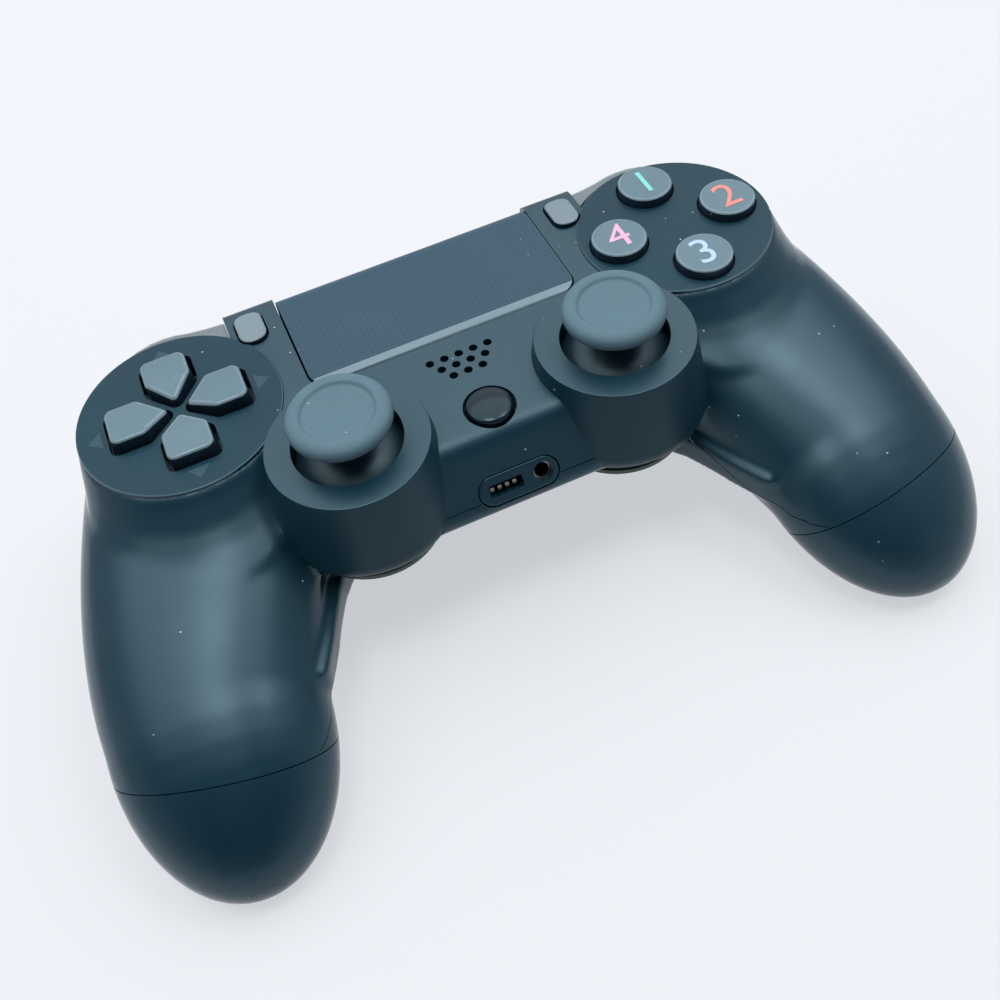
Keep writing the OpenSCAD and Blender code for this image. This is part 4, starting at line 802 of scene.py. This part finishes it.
# direction keys: one key, copied round, on a common disc
keyLook = {
    "rise": 2.4, "foot": -5.5, "edge": 0.75, "foldAt": 6.1, "foldLong": 4.2, "tipFall": 1.0,
    "plan": [(1.466, 0), (6.407, -4.2), (12.5, -4.2), (12.5, 4.2), (6.407, 4.2)],
    "rounds": [0.9, 1.6, 1.6, 1.6, 1.6],
    "disc": [(0, -5.1), (13.3, -5.1), (13.6, -5.4), (13.6, -6.3), (0, -6.3)]}
keyPlan = roundCorners(keyLook["plan"], keyLook["rounds"], 7)[::-1]
key = roundedTop("oneKey", keyPlan, keyLook["foot"], keyLook["rise"], keyLook["edge"])
openEdit(key)
bpy.ops.mesh.bisect(plane_co=(keyLook["foldAt"], 0, 0), plane_no=(1, 0, 0))
closeEdit()
for corner in key.data.vertices:  # the top folds down towards the tip
    if corner.co.z > 0:
        corner.co.z -= max(0, keyLook["foldAt"] - corner.co.x) / keyLook["foldLong"] * keyLook["tipFall"]
key.data.transform(Matrix.Translation((-drum["x"], 0, 0)))


def fourRound(piece, name):  # the piece and its three turned copies on the left disc
    return [piece] + [turnFlat(copyOf(piece, name), 90 * k, (-drum["x"], 0)) for k in (1, 2, 3)]


keys = fourRound(key, "key")
cross = turnRound("crossKeys", keyLook["disc"], (-drum["x"], 0), 64)
for one in keys:
    add(cross, one)
partFinishes(setDown(cross, "dpad", ["dpad_cross"], keySatin, 30), keyPaintedShade, keyPaintedHighlight)

# pale arrow marks printed on the left disc
arrowLook = {"near": 14.2, "far": 16.7, "half": 2.0, "height": 0.03, "depth": -0.2}
near, far, half = -drum["x"] + arrowLook["near"], -drum["x"] + arrowLook["far"], arrowLook["half"]
arrow = prism("arrow", [(near, -half), (far, 0), (near, half)], arrowLook["depth"], arrowLook["height"])
setDown(joinAll(fourRound(arrow, "arrow"), "arrowMarks"), "housing", [], arrowGrey)

# action buttons with a numeral on each top
buttonSide = [(0, 1.72), (4.3, 1.78), (4.85, 1.8), (5.1, 1.7), (5.25, 1.5), (5.4, 0.2), (5.4, -3.45), (6.3, -3.45),
              (6.3, -4.85), (0, -4.85)]
for number, (way, quarter) in enumerate((("north", 1), ("east", 0), ("south", 3), ("west", 2)), 1):
    spot = buttonSpot(quarter)
    button = turnRound(way + "Button", buttonSide, spot, 72)
    keep(button, prism("well", ring((drum["x"], 0), buttons["well"], 4), -20, 20))
    setDown(button, "button_" + way, ["button_" + way], keySatin, 30)
    partFinishes(button, keyPaintedShade, keyPaintedHighlight)
    clearPick()
    bpy.ops.object.text_add()
    numeral = bpy.context.object
    numeral.name = way + "Numeral"
    numeral.data.body = str(number)
    numeral.data.size = buttons["numeral"]
    numeral.data.align_x, numeral.data.align_y = "CENTER", "CENTER"
    numeral.data.extrude = buttons["ink"]
    bpy.ops.object.convert(target="MESH")
    numeral = bpy.context.object
    numeral.data.transform(Matrix.Translation((spot[0], spot[1], buttons["inkAt"])))
    setDown(numeral, "button_" + way, [], inkFinish[way])
print("keys and buttons set")

# menu and home buttons
menuTop = {"x": 32.2, "half": 2.65, "near": 9.85, "far": 18.15, "round": 2.3, "rise": 0.45, "foot": -4.4, "edge": 0.4,
           "cuts": (11.5, 13, 14.5, 16, 17)}
menuTab = {"x": 32.3, "half": 2.4, "near": 9.0, "far": 18.6, "round": 0.3, "foot": -4.75, "rise": -3.35}
for side, name, node in ((-1, "shareKey", "share_button"), (1, "optionsKey", "options_button")):
    piece = prism(name, menuPlate(side, menuTop), menuTop["foot"], menuTop["rise"])
    bevelEdges(piece, lambda p: p.z > menuTop["rise"] - 0.05, menuTop["edge"])
    openEdit(piece)
    for place in menuTop["cuts"]:
        selectAll()
        bpy.ops.mesh.bisect(plane_co=(0, place, 0), plane_no=(0, 1, 0))
    closeEdit()
    for corner in piece.data.vertices:  # the top follows the fall of the far edge
        past = corner.co.y - (padLook["far"] - block["farRound"])
        if corner.co.z > -0.5 and past > 0:
            corner.co.z -= block["farRound"] - math.sqrt(block["farRound"] ** 2 - past ** 2)
    add(piece, prism("tab", menuPlate(side, menuTab), menuTab["foot"], menuTab["rise"]))
    # upright sides get painted shade; the edges keep the top finish
    partFinishes(setDown(piece, node, [node], menuSatin, 30), keyPaintedShade, menuSatin)
homeSide = [(0, 0.62), (1.2, 0.58), (2.2, 0.47), (3.1, 0.28), (3.7, 0.08), (4.02, -0.12), (4.15, -0.4), (4.15, -3.35),
            (5.05, -3.35), (5.05, -4.75), (0, -4.75)]
homeKey = turnRound("homeKey", homeSide, home["place"], 72)
setDown(homeKey, "home_button", ["home_button"], glossBlack, 40)

# thumbsticks: rubber cap with a rim and a dished middle over a satin dome
capSide = [(2.05, 7.2), (6.9, 7.2), (7.7, 7.34), (8.3, 7.65), (8.72, 8.1), (8.92, 8.65), (8.93, 9.2), (8.8, 9.68),
           (8.5, 10.08), (8.05, 10.38), (7.5, 10.56), (6.95, 10.62), (6.5, 10.57), (6.27, 10.42), (6.1, 10.22),
           (5.9, 10.1), (5.65, 10.1), (5.0, 10.08), (4.0, 9.98), (2.4, 9.86), (0, 9.82), (0, 8.1), (2.05, 8.1)]
dome = {"outside": 13.5, "inside": 12.5, "neck": [(3.45, 3.2), (3.45, 7.1), (2.05, 7.1), (2.05, 2.3)]}
domeSide = (arc((0, pod["pivot"]), dome["outside"], 23, 76, 16) + dome["neck"]
            + arc((0, pod["pivot"]), dome["inside"], 80, 23, 14))
for side, hand in ((-1, "left"), (1, "right")):
    spot, body = (side * pod["x"], pod["y"]), hand + "_stick"
    setDown(turnRound(hand + "StickCap", capSide, spot, 96), body, [body + "_cap"], stickRubber, 40)
    setDown(turnRound(hand + "StickDome", domeSide, spot, 96), body, [body + "_dome"], domeSatin, 40)
print("sticks set")

# bumpers and triggers, made for the right hand and mirrored
lip = {
    "foot": -12.4, "top": -1.4, "round": 4.6, "disc": 19.7, "inner": 36.5, "reach": 70, "angle": 46,
    "pin": (39.6, 18.3), "boss": 1.6, "bossTop": -2.4, "bore": 0.85, "boreTop": -3.4,
    "rim": [(30, 12), (33, 20.6), (36.5, 22.2), (40, 22.5), (42.9, 23.0), (45.5, 23.7), (48, 24.0),
            (51, 23.8), (54, 23.0), (57, 21.5), (59.8, 19.3), (62, 16.8), (63.8, 13.5), (64, 8), (50, 4)],
    "rounds": [0] * 2 + [3] * 11 + [0] * 2}
rimPath = roundCorners(lip["rim"], lip["rounds"], 3)
bumper = roundedTop("rightBumper", rimPath, lip["foot"], lip["top"], lip["round"])
cut(bumper, prism("discSide", ring((drum["x"], 0), lip["disc"], 3), -40, 40))
keep(bumper, prism("reach", wedge(lip, lip["inner"]), -40, 40))
pin = lip["pin"]
add(bumper, prism("boss", ring(pin, lip["boss"], 10), lip["foot"], lip["bossTop"]))
cut(bumper, prism("bore", ring(pin, lip["bore"], 15), -20, lip["boreTop"]))
lever = {
    "from": 38.55, "to": 59.15, "edge": 0.6, "pin": (15, -18.8), "hub": 2.9, "bore": 1.55,
    "side": [(21.3, -13.4), (22.7, -15.5), (23.5, -20.0), (23.2, -28.0), (22.6, -35), (23.5, -40),
             (24.4, -42), (24.0, -43), (21.4, -43), (20.2, -38), (20.0, -32), (20.6, -26.0), (20.4, -23),
             (17, -21.6), (17, -15.6), (21.2, -15.6)],
    "rounds": [0.6, 2, 6, 8, 6, 3, 0.8, 0.4, 1, 4, 4, 2, 1, 0.5, 0.5, 0.3],
    "arm": (15, -21.2, 18, -16.8)}
ends, pin = (lever["from"], lever["to"]), lever["pin"]
trigger = sidePrism("rightTrigger", roundCorners(lever["side"], lever["rounds"], 5), *ends)
bevelEdges(trigger, lambda p: min(abs(p.x - end) for end in ends) < 0.01 and p.y > 21.2, lever["edge"])
add(trigger, sidePrism("hub", ring(pin, lever["hub"], 10), *ends))
add(trigger, sidePrism("arm", box(*lever["arm"]), *ends))
cut(trigger, sidePrism("bore", ring(pin, lever["bore"], 15), 30, 70))
for piece, name, node, finish in ((bumper, "leftBumper", "left_bumper", bumperPaintedReflection),
                                  (trigger, "leftTrigger", "left_trigger", leverSatin)):
    twin, twinNode = otherSide(piece, name), node.replace("left", "right")
    setDown(twin, node, [node], finish, 35)
    setDown(piece, twinNode, [twinNode], finish, 35)

# far edge: smoked light window
lensLook = {
    "half": 21, "rounds": [0, 0.2, 0.2, 0.2, 0.2, 0],
    "side": [(19.6, -9), (21.6, -9), (21.8, -9.4), (21.8, -18.2), (21.6, -18.6), (19.6, -18.6)],
    "flange": ((-22.5, 18.5), (22.5, 19.62), 0.2), "flangeLow": -19.8, "flangeHigh": -7.8}
lens = sidePrism("lightWindow", roundCorners(lensLook["side"], lensLook["rounds"], 2), -lensLook["half"],
                 lensLook["half"])
add(lens, prism("flange", roundPlate(*lensLook["flange"]), lensLook["flangeLow"], lensLook["flangeHigh"]))
setDown(lens, "housing", ["light_bar"], lightSmoke, 35)

# socket bezel with a slot, bright contacts and a headset socket
socket = {
    "thick": -3, "rise": 0.05, "edge": 0.4, "jackHole": 1.8, "slot": ((-5.5, -1.1), (0.7, 1.1), 0.35),
    "contacts": 4, "pitch": 1.4, "firstLow": (-5.05, -0.75), "firstHigh": (-4.35, 0.1), "contactRound": 0.12,
    "sleeve": (1.35, -1.2, 1.78, -9)}
bezel = prism("socketBezel", capsule(*port["bezel"], 16), socket["thick"], socket["rise"])
bevelEdges(bezel, lambda p: p.z > 0, socket["edge"])
cut(bezel, prism("jackHole", ring(port["jack"], socket["jackHole"], 8), -9, 9))
cut(bezel, prism("slotHole", roundPlate(*socket["slot"]), -9, 9))
setDown(toPort(bezel), "housing", ["port_bezel"], underMatte, 35)
blades = []
for k in range(socket["contacts"]):
    low, high = ((x + socket["pitch"] * k, y) for x, y in (socket["firstLow"], socket["firstHigh"]))
    blades.append(toPort(prism("contact", roundPlate(low, high, socket["contactRound"]), -4.5, -1.6)))
setDown(joinAll(blades, "slotContacts"), "housing", [], contactGold)
jackRing = turnRound("jackSleeve", box(*socket["sleeve"]), port["jack"], 40)
setDown(toPort(jackRing), "housing", [], plainSteel)

# shell screws with a cross recess, seen from below
screwSide = [(0, 9), (0.6, 9), (1.2, 8), (1.2, 0), (screws["head"], 0), (screws["head"], -1.1), (1.9, -1.6),
             (1.2, -1.8), (0, -1.8)]
screwPieces = []
for side in (-1, 1):
    for x, y, z in screws["spots"]:
        head = turnRound("screw", [(r, z + height) for r, height in screwSide], (side * x, y), 32)
        for wide, long in ((0.3, 1.3), (1.3, 0.3)):
            bar = box(side * x - wide, y - long, side * x + wide, y + long)
            cut(head, prism("recess", bar, z - 4, z - 0.9))
        screwPieces.append(head)
setDown(joinAll(screwPieces, "crossScrews"), "housing", ["shell_screws"], plainSteel)
print("edge pieces set")

# pieces inside keep their own shape and get a finish each
insideFinish = {"membrane_rubber": membraneRubber, "board": boardGreen, "inner_plastic": innerPlastic,
                "steel": plainSteel, "battery_wrap": batteryWrap, "ribbon_film": ribbonFilm,
                "lever_plastic": leverSatin, "under_plastic": underMatte, "key_plastic": keySatin,
                "gloss_black": glossBlack, "body_plastic": bodyMatte, "pad_plastic": padMatte,
                "stick_rubber": stickRubber, "light_plastic": lightSmoke}
for item in frame["record"]["subparts"]:
    mesh = nodes[item["node"]].data
    mesh.materials.clear()
    mesh.materials.append(insideFinish[item["material_slot"]])
print("inside finishes set")

# pale table, soft lamps and a pale room
room = {"colour": (0.896, 0.922, 0.965), "table": (0.245, 0.253, 0.266), "tableSize": 8, "floorGlow": 0.62,
        "floorGlint": 0.95, "bright": 0.50, "dim": 0.05, "dimWay": (-0.16, -0.57, 0.81), "dimFrom": 0.35, "dimTo": 0.92}
clearPick()
bpy.ops.mesh.primitive_plane_add(size=room["tableSize"], location=(0, 0, 0))
floor = bpy.context.object
floor.name = "table"
pale = bpy.data.materials.new("paleTable")
pale.use_nodes = True
tree = pale.node_tree
tree.nodes.clear()
rays = addNode(tree, "LightPath", {}).outputs
glints = addMath(tree, "MAXIMUM", rays["Is Glossy Ray"], rays["Is Transmission Ray"])
seen = addMath(tree, "MAXIMUM", rays["Is Camera Ray"], addMath(tree, "MULTIPLY", glints, room["floorGlint"]))
matte = addNode(tree, "BsdfDiffuse", {"Color": room["table"]})
strength = addMath(tree, "MULTIPLY", seen, room["floorGlow"])
glow = addNode(tree, "Emission", {"Color": room["colour"], "Strength": strength})
both = addNode(tree, "AddShader", {0: matte.outputs[0], 1: glow.outputs[0]})
addNode(tree, "OutputMaterial", {"Surface": both.outputs[0]})
floor.data.materials.append(pale)

world = bpy.data.worlds.new("paleRoom")
scene.world = world
world.use_nodes = True
tree = world.node_tree
tree.nodes.clear()
rays = addNode(tree, "LightPath", {}).outputs
away = addNode(tree, "TexCoord", {}).outputs["Generated"]
facing = addNode(tree, "VectorMath", {0: away}, operation="DOT_PRODUCT")
facing.inputs[1].default_value = room["dimWay"]  # the room is darker on the near side, above the table
ranges = {"From Min": room["dimFrom"], "From Max": room["dimTo"], "To Min": room["bright"], "To Max": room["dim"]}
fall = addNode(tree, "MapRange", {"Value": facing.outputs["Value"], **ranges}, interpolation_type="SMOOTHSTEP")
level = addMath(tree, "MAXIMUM", rays["Is Camera Ray"], fall.outputs["Result"])
sky = addNode(tree, "Background", {"Color": room["colour"], "Strength": level})
addNode(tree, "OutputWorld", {"Surface": sky.outputs[0]})

lamps = {"overLeft": {"place": (-0.09, -0.09, 0.80), "size": (0.24, 0.22), "power": 1.4, "aim": (0, 0, 0.02)},
         "overRight": {"place": (0.36, -0.10, 0.80), "size": (0.30, 0.22), "power": 1.15, "aim": (0, 0, 0.02)},
         "ceiling": {"place": (0.05, 0.37, 0.90), "size": (2.0, 1.15), "power": 13.0, "aim": (0.05, 0.37, 0)},
         "farSide": {"place": (0.05, 0.75, 0.40), "size": (1.2, 0.4), "power": 0.8, "aim": (0, 0, 0.02)}}
for name, lamp in lamps.items():
    clearPick()
    bpy.ops.object.light_add(type="AREA", location=lamp["place"])
    light = bpy.context.object
    light.name = name
    light.data.shape = "RECTANGLE"
    light.data.size, light.data.size_y = lamp["size"]
    light.data.energy = lamp["power"]
    light.rotation_euler = (Vector(lamp["aim"]) - Vector(lamp["place"])).to_track_quat("-Z", "Y").to_euler()
print("room lit")
